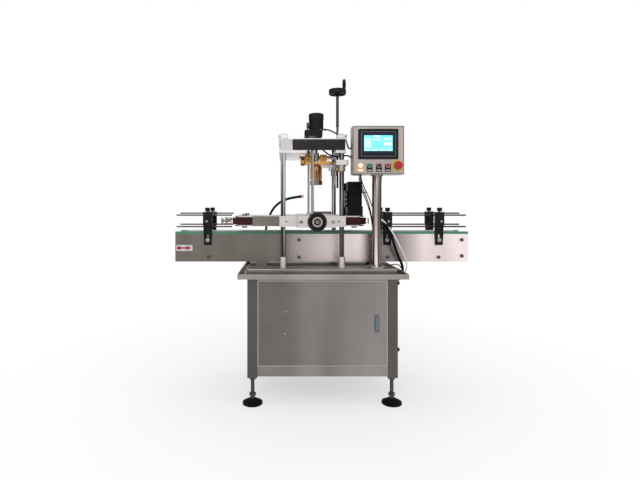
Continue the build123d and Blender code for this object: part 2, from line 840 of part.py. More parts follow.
def bracket(x, side):
    """Moulded guide bracket: a blade on the side plate, a deep head above it, a slot and its bolt."""
    outer = side_outer
    face = -outer - blade_thickness
    front = face - head_depth / 2
    foot = bracket_foot_width / 2
    half = bracket_width / 2
    shoulder = bracket_top - head_height
    outline = [
        (x - foot, bracket_bottom), (x + foot, bracket_bottom), (x + half, shoulder),
        (x + half, bracket_top), (x - half, bracket_top), (x - half, shoulder),
    ]
    blade = across(Polygon(*outline, align=None), face, -outer)
    head = block(x - half, x + half, front, face, shoulder, bracket_top)
    head = fillet(head.edges().filter_by(Axis.Z).group_by(Axis.Y)[0], blade_thickness)
    body = blade + head
    slot = SlotOverall(slot_z[1] - slot_z[0], 2 * slot_radius, rotation=90)
    body -= across(Pos(x, sum(slot_z) / 2) * slot, face, -outer)
    arm_z = sum(near_rail_z if side < 0 else far_rail_z) / 2
    body -= rod_y(x, front, -outer, arm_z, arm_radius + running)
    body -= rod(x, face - clamp_screw_inset, arm_z, bracket_top, clamp_screw_radius)
    seat = face - washer_thickness
    bolt = rod_y(x, seat, face, bracket_bolt_z, bracket_washer_radius)
    bolt += hexagon_y(x, seat - bolt_height, seat, bracket_bolt_z, bracket_bolt_flats)
    bolt += rod_y(x, face, -outer, bracket_bolt_z, slot_radius - 1)
    pieces = [body, bolt]
    return pieces if side < 0 else mirrored(pieces)


def guide_brackets():
    """All six brackets, three a side."""
    pieces = []
    for x in left_brackets + right_brackets:
        pieces += bracket(x, -1) + bracket(x, 1)
    return pieces


def guide_knobs():
    """Lobed clamp knobs screwed down into the bracket heads onto the arms."""
    pieces = []
    lobe = Circle(knob_radius)
    reach = knob_radius * 1.23
    for i in range(knob_lobes):
        turn = 2 * math.pi * i / knob_lobes
        lobe -= Pos(reach * math.cos(turn), reach * math.sin(turn)) * Circle(knob_radius * 0.46)
    y = side_outer + blade_thickness + clamp_screw_inset
    for x in left_brackets + right_brackets:
        for side in (-1, 1):
            arm_z = sum(near_rail_z if side < 0 else far_rail_z) / 2
            knob = Pos(x, side * y, bracket_top + knob_gap) * extrude(lobe, knob_height)
            stem = rod(x, side * y, arm_z + arm_radius, bracket_top + knob_gap, clamp_screw_radius)
            pieces.append(knob + stem)
    return pieces


def guide_rails(x0, x1, brackets, side):
    """Two round rails held by clamp blocks on sliding arms."""
    y = near_rail_y if side < 0 else far_rail_y
    levels = near_rail_z if side < 0 else far_rail_z
    outer = side_outer + blade_thickness + head_depth / 2
    half = rail_clamp / 2
    pieces = []
    for z in levels:
        rail = rod_x(x0, x1, y, z, rail_radius)
        pieces.append(chamfer(rail.edges().filter_by(GeomType.CIRCLE), 1))
    for x in brackets:
        arm_z = sum(levels) / 2
        low = levels[0] - rail_radius - arm_radius
        clamp = block(x - half, x + half, y - half, y + half, low, 2 * arm_z - low)
        clamp = fillet(clamp.edges().filter_by(Axis.Z), 3)
        for z in levels:
            clamp -= rod_x(x - half, x + half, y, z, rail_radius)
        start = y + side * half
        end = side * (outer + arm_overhang)
        arm = rod_y(x, min(start, end), max(start, end), arm_z, arm_radius)
        pieces.append(clamp + arm)
    return pieces


# Capping frame, worked out once
columns_x = (capper_x - column_spacing_x / 2, capper_x + column_spacing_x / 2)
columns_y = (-column_spacing_y / 2, column_spacing_y / 2)
column_places = [(x, y) for x in columns_x for y in columns_y]
plates_left = capper_x - head_plate_width / 2
plates_right = capper_x + head_plate_width / 2
plates_front = -head_plate_depth / 2
plates_back = head_plate_depth / 2
upper_top = upper_plate_z + upper_plate
lower_top = lower_plate_z + lower_plate
bearing_top = upper_top + lift_bearing_height
hanger_y = column_spacing_y / 2


def columns():
    """Four polished columns standing on the deck, each with an end cap."""
    pieces = []
    for x, y in column_places:
        column = rod(x, y, deck_top, column_top, column_radius)
        cap = rod(x, y, column_top, column_top + column_cap_height, column_cap_radius)
        pieces += [column, fillet(cap.edges().sort_by(Axis.Z)[-1], 2)]
    return pieces


def column_clamps():
    """White base sockets on the deck and split clamp blocks on the upper plate."""
    pieces = []
    half = clamp_block / 2
    for x, y in column_places:
        socket = ring(x, y, deck_top, deck_top + socket_height, socket_radius, column_radius)
        pieces.append(fillet(socket.edges().group_by(Axis.Z)[-1].sort_by(SortBy.LENGTH)[-1], 3))
        clamp = block(x - half, x + half, y - half, y + half, upper_top, upper_top + clamp_height)
        clamp = fillet(clamp.edges().filter_by(Axis.Z), 3)
        clamp -= rod(x, y, upper_top, upper_top + clamp_height, column_radius)
        edge = x + half if x > capper_x else x - half
        slit_y = (y - clamp_slit / 2, y + clamp_slit / 2)
        clamp -= block(min(x, edge), max(x, edge), *slit_y, upper_top, upper_top + clamp_height)
        pieces.append(clamp)
    return pieces


def top_plates():
    """Lower plate with a stepped notch for the head, upper plate under the motor, and the lift bearing."""
    lower = block(plates_left, plates_right, plates_front, plates_back, lower_plate_z, lower_top)
    lower -= block(notch_mouth_left, notch_mouth_right, plates_front, notch_step_y, lower_plate_z, lower_top)
    lower -= block(notch_left, notch_right, notch_step_y, notch_rear, lower_plate_z, lower_top)
    lower = fillet(lower.edges().filter_by(Axis.Z).group_by(Axis.Y)[0], 4)
    upper = block(plates_left, plates_right, plates_front, plates_back, upper_plate_z, upper_top)
    plates = []
    for plate in (lower, upper):
        for x, y in column_places:
            plate -= rod(x, y, lower_plate_z, upper_top, column_radius)
        plate -= rod(lift_x, 0, lower_plate_z, upper_top, lift_screw_radius + shaft_room)
        plate -= rod(hanger_x, hanger_y, lower_plate_z, upper_top, rear_hanger_radius + running)
        plates.append(plate)
    plates[1] -= rod(hanger_x, -hanger_y, upper_plate_z, upper_top, front_hanger_radius + running)
    plates[1] -= rod(head_x, 0, upper_plate_z, upper_top, drive_shaft_radius + 6 * shaft_room)
    bearing = ring(lift_x, 0, upper_top, bearing_top, lift_bearing_radius, lift_screw_radius + running)
    return plates + [fillet(bearing.edges().group_by(Axis.Z)[-1].sort_by(SortBy.LENGTH)[-1], 2)]


def fascia():
    """Two bare plates on the front edges of the head plates: a light square and a dark strip."""
    low = lower_top
    y0 = plates_front - fascia_thickness
    pieces = []
    for x0, x1 in ((plates_left + 6, fascia_split_x - 2), (fascia_split_x, plates_right - 4)):
        face = Pos((x0 + x1) / 2, low + fascia_height / 2) * RectangleRounded(x1 - x0, fascia_height, 3)
        pieces.append(across(face, y0, plates_front))
        tab = block(x0 + 6, x1 - 6, plates_front, plates_front + 6, low, low + sheet)
        tab += block(x0 + 6, x1 - 6, plates_front, plates_front + sheet, low, low + 12)
        pieces.append(tab)
    return pieces


def head_motor():
    """Motor with a fan cap on a flat gearbox, on four standoffs above the upper plate."""
    x0 = head_x + gearbox_offset - gearbox_width / 2
    x1 = x0 + gearbox_width
    half = gearbox_depth / 2
    top = gearbox_z + gearbox_height
    box = block(x0, x1, -half, half, gearbox_z, top)
    box = fillet(box.edges().filter_by(Axis.Z), 12)
    box = fillet(box.faces().sort_by(Axis.Z)[-1].edges(), 3)
    box -= rod(head_x, 0, gearbox_z, top - 10, drive_shaft_radius + running)
    low = top + head_motor_height
    body = rod(head_x, 0, top, low, head_motor_radius)
    outer = head_motor_radius + motor_rib_depth
    half_rib = motor_rib_width / 2
    rib = block(head_motor_radius - 1, outer, -half_rib, half_rib, top + 4, low)
    for i in range(motor_ribs):
        body += Pos(head_x, 0, 0) * Rot(0, 0, 360 * i / motor_ribs) * rib
    cap = rod(head_x, 0, low, low + motor_cap_height, motor_cap_radius)
    cap = fillet(cap.edges().sort_by(Axis.Z)[-1], 8)
    for i in range(-3, 4):
        reach = math.sqrt(28 ** 2 - (7 * i) ** 2)
        top_face = low + motor_cap_height
        cap -= block(head_x - reach, head_x + reach, 7 * i - 1.5, 7 * i + 1.5, top_face - 2, top_face)
    side = terminal_width / 2
    left = head_x - motor_cap_radius - terminal_reach
    middle = top + 28
    terminal = block(
        left, head_x - head_motor_radius + 6, -side, side,
        middle - terminal_height / 2, middle + terminal_height / 2,
    )
    terminal = fillet(terminal.edges().filter_by(Axis.Z).group_by(Axis.X)[0], 4)
    pieces = [box, body + terminal, cap]
    for x in (x0 + standoff_inset, x1 - standoff_inset):
        for y in (standoff_inset - half, half - standoff_inset):
            pieces.append(rod(x, y, upper_top, gearbox_z, standoff_radius))
    return pieces


def drive_shaft():
    """Motor shaft that telescopes in the spindle, with a feather key."""
    top = gearbox_z + gearbox_height - 10.5
    shaft = rod(head_x, 0, drive_shaft_bottom, top, drive_shaft_radius)
    key_top = coupling_z + coupling_height
    key_out = head_x + drive_shaft_radius + key_rise
    half = key_width / 2
    return [shaft + block(head_x + 5, key_out, -half, half, drive_shaft_bottom, key_top)]


def lift_screw():
    """Lift screw with its upper sleeve and the two collars that hold it at the upper plate."""
    screw = rod(lift_x, 0, lift_screw_bottom, lift_wheel_z + lift_seat, lift_screw_radius)
    screw += rod(lift_x, 0, sleeve_bottom, lift_wheel_z, sleeve_radius)
    screw += rod(lift_x, 0, bearing_top + soft_gap, bearing_top + lift_collar_height, lift_collar_radius)
    collar_bottom = upper_plate_z - lift_collar_height
    screw += rod(lift_x, 0, collar_bottom, upper_plate_z - soft_gap, lift_collar_radius)
    return [screw]


def lift_wheel():
    """Dished handwheel with three spokes and the pin that its grip turns on."""
    rim_z = lift_wheel_z + lift_hub_height
    hub = rod(lift_x, 0, lift_wheel_z, rim_z + rim_thickness, lift_hub_radius)
    hub = fillet(hub.edges().sort_by(Axis.Z)[-1], 4)
    mid = lift_rim_radius - rim_thickness / 2
    outline = RectangleRounded(rim_thickness, rim_thickness, rim_round)
    section = Pos(mid, 0, rim_z + rim_thickness / 2) * Rot(90, 0, 0) * outline
    wheel = hub + Pos(lift_x, 0, 0) * revolve(section, Axis.Z)
    half = spoke_width / 2
    spoke = block(lift_hub_radius - 4, mid, -half, half, rim_z + 2, rim_z + 2 + spoke_height)
    for i in range(3):
        wheel += Pos(lift_x, 0, 0) * Rot(0, 0, 120 * i) * spoke
    wheel -= rod(lift_x, 0, lift_wheel_z, lift_wheel_z + lift_seat, lift_screw_radius)
    pin_top = rim_z + rim_thickness + grip_length
    wheel += rod(lift_x + grip_offset, 0, rim_z + rim_thickness / 2, pin_top, grip_pin_radius)
    return [wheel]


def grip(length):
    """Turned handle that revolves on a pin, standing on Z=0 with its bore open below."""
    outline = Polyline((0, length), (0, 0), (grip_radius * 0.7, 0))
    side = ThreePointArc((grip_radius * 0.7, 0), (grip_radius, length * 0.6), (grip_radius * 0.7, length))
    close = Line((grip_radius * 0.7, length), (0, length))
    body = revolve(Rot(90, 0, 0) * make_face(outline + side + close), Axis.Z)
    return body - rod(0, 0, 0, length - grip_end, grip_pin_radius + running)


def lift_grip():
    """Revolving grip on the lift wheel."""
    base = lift_wheel_z + lift_hub_height + rim_thickness + soft_gap
    return [Pos(lift_x + grip_offset, 0, base) * grip(grip_length + grip_end + 0.2)]


# Carriage, worked out once
bar_left = lift_x - bar_width / 2
bar_right = lift_x + bar_width / 2
bar_top = bar_z + bar_height
yoke_bottom = bar_z + 1 + yoke_block_height
yoke_top = yoke_bottom + yoke_thickness


def carriage_bar():
    """White cross bar on two bushings that slide on the right-hand columns, with the lift screw's nut."""
    bar = block(bar_left, bar_right, -bar_depth / 2, bar_depth / 2, bar_z, bar_top)
    bar = fillet(bar.edges().filter_by(Axis.Z), 6)
    bar -= rod(lift_x, 0, bar_z, bar_top, lift_screw_radius + running)
    pieces = []
    for y in columns_y:
        bar -= rod(columns_x[1], y, bar_z, bar_top, column_radius + running)
        bush = ring(columns_x[1], y, bar_z - bush_height, bar_z, bush_radius, column_radius + running)
        pieces.append(fillet(bush.edges().group_by(Axis.Z)[0].sort_by(SortBy.LENGTH)[-1], 2))
    nut = ring(lift_x, 0, bar_z - lift_nut_height, bar_z, lift_nut_radius, lift_screw_radius + running)
    return [bar, nut] + pieces


def head_yoke():
    """Gold head plate with two upright blocks and the closing cylinder, on a grey block at the bar."""
    half = yoke_depth / 2
    plate = block(yoke_left, yoke_right, -half, half, yoke_bottom, yoke_top)
    plate = fillet(plate.edges().filter_by(Axis.Z), 5)
    plate -= rod(head_x, 0, yoke_bottom, yoke_top, spindle_radius + running)
    deep = yoke_upright_depth / 2
    tongue = left_tongue_depth / 2
    step = yoke_top + left_upright_height
    left = block(yoke_left, left_upright_right, -deep, deep, yoke_top, step)
    left += block(yoke_left + 8, left_tongue_right, -tongue, tongue, step, step + left_tongue_height)
    right_top = yoke_top + right_upright_height
    right = block(right_upright_left, right_upright_right, -deep, deep, yoke_top, right_top)
    left = chamfer(left.edges().filter_by(Axis.Y).group_by(Axis.Z)[-1], 2)
    right = chamfer(right.edges().filter_by(Axis.Y).group_by(Axis.Z)[-1], 3)
    drum = rod_x(yoke_left - drum_length, yoke_left, 0, yoke_top + drum_rise, drum_radius)
    drum = chamfer(drum.edges().filter_by(GeomType.CIRCLE), 2)
    side = packing_width / 2
    packing = block(yoke_block_left, bar_left, -side, side, yoke_bottom - yoke_block_height, yoke_bottom)
    return [plate, left, right, drum, packing]


def spindle():
    """Hollow spindle with the coupling at its head, the stem and the cap disc with its cap-shaped mouth."""
    top = coupling_z + coupling_height
    body = rod(head_x, 0, spindle_bottom, top, spindle_radius)
    body += rod(head_x, 0, coupling_z, top, coupling_radius)
    floor = spindle_bottom + spindle_floor
    body -= rod(head_x, 0, floor, top, drive_shaft_radius + running)
    key_out = head_x + drive_shaft_radius + key_rise + 4 * running
    half = key_width / 2 + 2 * running
    body -= block(head_x + 5, key_out, -half, half, floor, top)
    disc_top = cap_disc_bottom + cap_disc_height
    body += rod(head_x, 0, disc_top - 2, spindle_bottom, stem_radius)
    disc = rod(head_x, 0, cap_disc_bottom, disc_top, cap_disc_radius)
    disc = fillet(disc.edges().sort_by(Axis.Z)[-1], 3)
    mouth = rod(head_x, 0, cap_disc_bottom, cap_disc_bottom + cap_mouth_depth, cap_mouth_radius)
    disc -= mouth
    disc = chamfer(disc.edges().group_by(Axis.Z)[0].sort_by(SortBy.LENGTH)[0], 3)
    slot_top = cap_disc_bottom + cap_slot_height
    half = cap_slot_width / 2
    slot = block(cap_mouth_radius - 2, cap_disc_radius + 1, -half, half, cap_disc_bottom, slot_top)
    for i in range(3):
        disc -= Pos(head_x, 0, 0) * Rot(0, 0, 60 + 120 * i) * slot
    return [body + disc]


def chuck_body():
    """Ring on the spindle with three slots, in which the fingers hang on their pins."""
    body = ring(head_x, 0, chuck_z, chuck_z + chuck_height, chuck_body_radius, spindle_radius)
    half = finger_tab / 2 + soft_gap
    slot = block(spindle_radius, chuck_body_radius + 1, -half, half, chuck_z, finger_pivot_z + 12)
    slot += rod_y(pivot_radius, -12, 12, finger_pivot_z, pivot_pin_radius + running)
    for i in range(3):
        body -= Pos(head_x, 0, 0) * Rot(0, 0, finger_turn + 120 * i) * slot
    return [body]


def finger(i):
    """Tapered finger with the tab and pivot pin that hang it in the chuck body."""
    top = chuck_z + chuck_height + 1
    inner = finger_outer - finger_wall
    profile = Polygon(
        (inner, finger_bottom), (finger_outer - 3, finger_bottom), (finger_outer, finger_bottom + 18),
        (finger_outer, top - 8), (finger_outer - 3, top), (inner, top), align=None,
    )
    shell = revolve(Rot(90, 0, 0) * profile, Axis.Z)
    foot = finger_width / 2
    head = foot + 6
    taper = Polygon((-head, top), (head, top), (foot, finger_bottom), (-foot, finger_bottom), align=None)
    shell &= along(taper, inner - 8, finger_outer + 1)
    half = finger_tab / 2
    tab = block(pivot_radius - 4, inner + 3, -half, half, finger_pivot_z - 6, finger_pivot_z + 6)
    pin = rod_y(pivot_radius, -10, 10, finger_pivot_z, pivot_pin_radius)
    return [Pos(head_x, 0, 0) * Rot(0, 0, finger_turn + 120 * i) * (shell + tab + pin)]


# Belt frame, worked out once
bar_top_z = crossbar_z + crossbar_height
crossbar_in = column_spacing_y / 2 - crossbar_thickness / 2
crossbar_out = column_spacing_y / 2 + crossbar_thickness / 2
unit_outer = unit_y + belt_radius
cover_y = unit_outer + 1
web_y = cover_y + cover_sheet
web_out = web_y + yoke_web
belt_top = belt_bottom + belt_height
lower_unit_plate = belt_bottom - unit_plate_gap - unit_plate
upper_unit_plate = belt_top + unit_plate_gap
width_pin_x = width_x + width_grip_offset * math.cos(math.radians(width_grip_turn))
width_pin_z = slide_z + width_grip_offset * math.sin(math.radians(width_grip_turn))


def crossbars():
    """Front and rear bars that slide on the columns, with the hanger rods, nuts and rear scale plate."""
    pieces = []
    for side in (-1, 1):
        y0 = min(side * crossbar_in, side * crossbar_out)
        bar = block(plates_left, plates_right, y0, y0 + crossbar_thickness, crossbar_z, bar_top_z)
        bar = fillet(bar.edges().filter_by(Axis.Z), 3)
        hanger = front_hanger_radius if side < 0 else rear_hanger_radius
        for x in columns_x:
            bar -= rod(x, side * hanger_y, crossbar_z, bar_top_z, column_radius + running)
        for x in slide_rod_x:
            bar -= rod_y(x, y0, y0 + crossbar_thickness, slide_z, slide_rod_radius + running)
        seat = bar_top_z - hanger_seat
        bar -= rod(hanger_x, side * hanger_y, seat, bar_top_z, hanger)
        if side < 0:
            bar -= rod_y(width_x, y0, y0 + crossbar_thickness, slide_z, width_screw_radius + running)
        nut_top = bar_top_z + hanger_nut_height
        nut = hexagon(hanger_x, side * hanger_y, bar_top_z, nut_top, 2 * hanger + 8)
        nut -= rod(hanger_x, side * hanger_y, bar_top_z, nut_top, hanger)
        pieces += [bar, nut, rod(hanger_x, side * hanger_y, seat, upper_top + 2, hanger)]
    scale_y = (crossbar_in + 4, crossbar_out - 4)
    pieces.append(block(scale_left, scale_right, *scale_y, bar_top_z, bar_top_z + scale_height))
    return pieces


def slide_rods(side):
    """Two rods that carry a belt unit through its crossbar. The front plate is bolted to the near pair."""
    front = front_plate_y - front_plate_thickness
    start = front_plate_y if side < 0 else -crossbar_out - unit_travel_in - rod_overhang
    pieces = [rod_y(x, start, -web_out, slide_z, slide_rod_radius) for x in slide_rod_x]
    if side > 0:
        return mirrored(pieces)
    outline = Pos(width_x, slide_z) * RectangleRounded(front_plate_width, front_plate_height, 4)
    plate = across(outline, front, front_plate_y)
    plate -= rod_y(width_x, front, front_plate_y, slide_z, width_screw_radius + running)
    heads = []
    for x in slide_rod_x:
        face = front - slide_head_height
        head = rod_y(x, face, front, slide_z, slide_head_radius)
        recess = hexagon_y(x, face, face + slide_head_height / 2, slide_z, slide_head_flats)
        heads.append(fillet(head.edges().sort_by(Axis.Y)[0], 1.5) - recess)
    return pieces + [plate] + heads


def width_wheel():
    """Width handwheel on its screw: dished black wheel, bright ring, hub and centre bolt."""
    front = width_wheel_front
    back = front + width_wheel_thickness
    plate_front = front_plate_y - front_plate_thickness
    half = width_wheel_thickness / 2
    centre = Pos(width_x, 0, slide_z) * Rot(90, 0, 0)
    outline = RectangleRounded(2 * half, 2 * half, rim_round)
    section = Pos(width_wheel_radius - half, 0) * Rot(90, 0, 0) * outline
    rim = centre * Pos(0, 0, -front - half) * revolve(section, Axis.Z)
    web = rod_y(width_x, front + 5, back - 3, slide_z, width_wheel_radius - half)
    hub = rod_y(width_x, front - 2, plate_front - soft_gap, slide_z, width_hub_radius)
    wheel = rim + web + hub
    pin_front = front - width_grip_length + grip_end + 0.5
    wheel += rod_y(width_pin_x, pin_front, front + half, width_pin_z, grip_pin_radius)
    wheel -= rod_y(width_x, front - 2, plate_front, slide_z, width_screw_radius)
    bright = ring_y(width_x, front - 1, front + 5, slide_z, bright_ring_radius, width_hub_radius)
    bolt = hexagon_y(width_x, front - 2 - bolt_height, front - 2, slide_z, width_bolt_flats)
    screw = rod_y(width_x, front - 2, -web_out - rod_overhang, slide_z, width_screw_radius)
    collar = width_screw_radius + 5
    screw += rod_y(width_x, front_plate_y + soft_gap, front_plate_y + 4, slide_z, collar)
    return [wheel, bright, bolt, screw]


def width_grip():
    """Revolving grip on the width wheel."""
    place = Pos(width_pin_x, width_wheel_front - soft_gap, width_pin_z)
    return [place * Rot(90, 0, 0) * grip(width_grip_length)]


def unit_outline(radius):
    """Race-track outline round both pulley centres."""
    span = pulley_x[1] - pulley_x[0]
    middle = (pulley_x[0] + pulley_x[1]) / 2
    return Pos(middle, -unit_y) * SlotCenterToCenter(span, 2 * radius)


def near_unit_plates():
    """Lower and upper plates on spacers, the cover along the outer belt run, and the yoke round the belt."""
    pieces = []
    for z in (lower_unit_plate, upper_unit_plate):
        plate = Pos(0, 0, z) * extrude(unit_outline(unit_plate_radius), unit_plate)
        for x in pulley_x:
            plate -= rod(x, -unit_y, z, z + unit_plate, unit_shaft_radius + running)
        pieces.append(plate)
    for x in spacers_x:
        pieces.append(rod(x, -unit_y, lower_unit_plate + unit_plate, upper_unit_plate, spacer_radius))
    cover = block(cover_left, cover_right, -web_y, -cover_y, lower_unit_plate + 2, upper_unit_plate + 4)
    x0 = slide_rod_x[0] - unit_yoke_side
    x1 = slide_rod_x[1] + unit_yoke_side
    low = lower_unit_plate - unit_plate
    high = upper_unit_plate + unit_plate
    yoke = block(x0, x1, -web_out, -web_y, low, high + unit_plate)
    inner = -unit_y - unit_yoke_inset
    yoke += block(x0, x1, -web_y, inner, low, lower_unit_plate)
    yoke += block(x0, x1, -web_y, inner, high, high + unit_plate)
    return pieces + [cover, yoke]


def near_belt():
    """Endless gripping belt round both pulleys."""
    band = extrude(unit_outline(belt_radius), belt_height) - extrude(
        unit_outline(belt_radius - belt_thickness), belt_height
    )
    return [Pos(0, 0, belt_bottom) * band]


def near_pulley(drive):
    """Pulley turned hollow on both faces, on its shaft. The driven one runs up into the gearhead."""
    x = pulley_x[1] if drive else pulley_x[0]
    radius = belt_radius - belt_thickness - soft_gap
    wheel = rod(x, -unit_y, belt_bottom, belt_top, radius)
    for z in (belt_bottom, belt_top - pulley_recess):
        wheel -= ring(x, -unit_y, z, z + pulley_recess, radius - pulley_rim, pulley_hub_radius)
    top = upper_unit_plate + unit_plate
    under = lower_unit_plate - soft_gap
    end = top + drive_shaft_reach if drive else top + soft_gap
    wheel += rod(x, -unit_y, under, end, unit_shaft_radius)
    wheel += hexagon(x, -unit_y, lower_unit_plate - unit_nut_height, under, unit_nut_flats)
    if not drive:
        wheel += hexagon(x, -unit_y, top + soft_gap, top + unit_nut_height, unit_nut_flats)
    return [wheel]


def near_motor():
    """Square gearhead and motor standing on the unit's upper plate over the driven pulley."""
    x = pulley_x[1]
    half = belt_motor_size / 2
    low = upper_unit_plate + unit_plate
    top = low + gearhead_height
    head = block(x - half, x + half, -unit_y - half, -unit_y + half, low, top)
    head = fillet(head.edges().filter_by(Axis.Z), 5)
    head -= rod(x, -unit_y, low, low + drive_shaft_reach + 1, unit_shaft_radius + running)
    flat = half - 2
    body = block(x - flat, x + flat, -unit_y - flat, -unit_y + flat, top, top + belt_motor_height)
    body = fillet(body.edges().filter_by(Axis.Z), belt_motor_corner)
    body = fillet(body.faces().sort_by(Axis.Z)[-1].edges(), 4)
    side = belt_motor_groove / 2
    end = top + belt_motor_height - 24
    groove = block(flat - belt_motor_groove_depth, half, -side, side, top + 10, end)
    for i in range(4):
        body -= Pos(x, -unit_y, 0) * Rot(0, 0, 90 * i) * groove
    side = belt_terminal_width / 2
    terminal = block(
        x - half - 10, x - flat, -unit_y - side, -unit_y + side,
        top + 20, top + 20 + belt_terminal_height,
    )
    return [head, body, fillet(terminal.edges().filter_by(Axis.Z).group_by(Axis.X)[0], 3)]


# Operator box, worked out once
box_left = box_x - box_width / 2
box_right = box_x + box_width / 2
box_top = box_bottom + box_height
box_back = box_front + box_depth
controls = ((green_x, "green"), (maroon_x, "maroon"), (red_x, "red"))
neck_end = box_front + 16


def control_pole():
    """Round pole with a bolted foot flange and a plate under the box."""
    low = deck_top + pole_flange
    collar_z = box_bottom - pole_plate
    inner = pole_radius - pole_wall
    pole = ring(pole_x, pole_y, low, collar_z, pole_radius, inner)
    flange = rod(pole_x, pole_y, deck_top, low, pole_flange_radius)
    flange = fillet(flange.edges().sort_by(Axis.Z)[-1], 2)
    head = ring(pole_x, pole_y, collar_z, box_bottom, pole_radius + 8, inner)
    sleeve = ring(pole_x, pole_y, collar_z - pole_sleeve, collar_z, pole_radius + sheet, pole_radius)
    for z in pole_outlets:
        pole -= rod_x(pole_x, pole_x + pole_radius, pole_y, z, sleeve_tube_radius + soft_gap)
    pieces = [pole, flange, head, sleeve]
    for i in range(4):
        turn = math.radians(45 + 90 * i)
        reach = pole_flange_radius - 11
        x = pole_x + reach * math.cos(turn)
        y = pole_y + reach * math.sin(turn)
        pieces.append(hexagon(x, y, low, low + pole_bolt_height, pole_bolt_flats))
    return pieces


def control_box():
    """Folded box with bevelled rear edges, a rear cover, and cut-outs for the panel and its controls."""
    outline = Polygon(
        (box_left, box_front), (box_right, box_front), (box_right, box_back - box_bevel),
        (box_right - box_bevel, box_back), (box_left + box_bevel, box_back), (box_left, box_back - box_bevel),
        align=None,
    )
    shell = Pos(0, 0, box_bottom) * extrude(outline, box_height, dir=(0, 0, 1))
    hollow = extrude(offset(outline, -box_sheet), box_height - 2 * box_sheet, dir=(0, 0, 1))
    inner = Pos(0, 0, box_bottom + box_sheet) * hollow
    shell -= inner
    half_w = panel_width / 2 - 7
    half_h = panel_height / 2 - 7
    skin = (box_front, box_front + box_sheet)
    shell -= block(panel_x - half_w, panel_x + half_w, *skin, panel_z - half_h, panel_z + half_h)
    for x in (lamp_x, green_x, maroon_x, red_x, stop_x):
        shell -= rod_y(x, *skin, button_row_z, button_radius)
    for y, z in box_entries:
        shell -= rod_x(box_left, box_left + box_sheet, y, z, air_tube_radius)
    shell -= rod(pole_x, pole_y, box_bottom, box_bottom + box_sheet, pole_radius - pole_wall)
    for x, y in bundle_entries:
        shell -= rod(x, y, box_bottom, box_bottom + box_sheet, lead_radius)
    half = box_width / 2 - box_bevel - 8
    cover_z = (box_bottom + 12, box_top - 12)
    cover = block(box_x - half, box_x + half, box_back, box_back + box_sheet, *cover_z)
    return [shell, cover]


def touch_panel():
    """Panel with its dark bezel in front, the screen in its window and the case inside the box."""
    front = box_front - panel_thickness
    outline = Pos(panel_x, panel_z) * RectangleRounded(panel_width, panel_height, 5)
    bezel = across(outline, front, box_front)
    bezel = fillet(bezel.faces().sort_by(Axis.Y)[0].edges(), 2)
    window = Pos(panel_x, panel_z + screen_rise) * Rectangle(screen_width, screen_height)
    bezel -= across(window, front, front + 3)
    half_w = panel_width / 2 - 8
    half_h = panel_height / 2 - 8
    case_y = (box_front, box_front + panel_case_depth)
    case = block(panel_x - half_w, panel_x + half_w, *case_y, panel_z - half_h, panel_z + half_h)
    glass = across(window, front + 1.5, front + 3)
    return [bezel + case, glass]


def panel_fittings():
    """Legend plates, button necks and rings, the pilot lamp, and the stop button's yellow collar."""
    pieces = []
    legend_front = box_front - 1.5
    for x in (lamp_x, green_x, maroon_x, red_x):
        outline = Pos(x, legend_z) * RectangleRounded(legend_width, legend_height, 2)
        legend = across(outline, legend_front, box_front)
        pieces.append(legend - rod_y(x, legend_front, box_front, button_row_z, button_radius))
        neck = ring_y(x, legend_front - 5, legend_front, button_row_z, collar_radius, cap_radius + running)
        neck = fillet(neck.edges().group_by(Axis.Y)[0].sort_by(SortBy.LENGTH)[-1], 1.2)
        neck += ring_y(x, legend_front, neck_end, button_row_z, button_radius, cap_radius + running)
        pieces.append(neck)
    lens = rod_y(lamp_x, legend_front - 9, neck_end, button_row_z, cap_radius + running)
    pieces.append(fillet(lens.edges().sort_by(Axis.Y)[0], 4))
    collar = ring_y(stop_x, box_front - 2, box_front, button_row_z, stop_collar_radius, button_radius)
    neck = ring_y(stop_x, box_front - 8, neck_end, button_row_z, button_radius, cap_radius + running)
    neck += ring_y(stop_x, box_front - 8, box_front - 2, button_row_z, 16, button_radius)
    return pieces + [collar, neck]


def push_button(x):
    """Flat push button in its neck."""
    button = rod_y(x, box_front - 9, neck_end, button_row_z, cap_radius)
    return [fillet(button.edges().sort_by(Axis.Y)[0], 1.5)]


def stop_button():
    """Red mushroom button on its stem."""
    front = box_front - stop_front
    head = rod_y(stop_x, front, front + stop_height, button_row_z, stop_radius)
    head = fillet(head.edges().sort_by(Axis.Y)[0], 7)
    head = fillet(head.edges().sort_by(Axis.Y)[-1], 2)
    return [head + rod_y(stop_x, front + stop_height - 1, neck_end, button_row_z, cap_radius)]


# Tubes and leads
def tube(points, radius):
    """Round tube along straight runs joined by tangent arcs, as large as the runs allow."""
    corners = [Vector(*p) for p in points]
    radii = []
    for before, at, after in zip(corners, corners[1:], corners[2:]):
        turn = math.radians((at - before).get_angle(after - at))
        run = min((at - before).length, (after - at).length)
        radii.append(0.45 * run / math.tan(turn / 2))
    path = FilletPolyline(*points, radius=radii)
    section = Plane(path @ 0, z_dir=path % 0) * Circle(radius)
    solid = sweep(section, path)
    expected = math.pi * radius ** 2 * path.length
    print("tube radii", [round(r) for r in radii], "volume ratio", round(solid.volume / expected, 3))
    return solid


def sensor_arm():
    """Bottle sensor on a bent arm behind the far belt unit, standing on the deck in a round foot."""
    x, y, _ = sensor_route[0]
    foot = rod(x, y, deck_top, deck_top + 12, 22)
    foot = fillet(foot.edges().sort_by(Axis.Z)[-1], 3)
    tip = Vector(*sensor_route[-1])
    way = (tip - Vector(*sensor_route[-2])).normalized()
    head = Plane(tip, z_dir=way) * (Pos(0, 0, 12) * Cylinder(arm_tube_radius + 2, 24))
    return [foot, tube(sensor_route, arm_tube_radius), head]


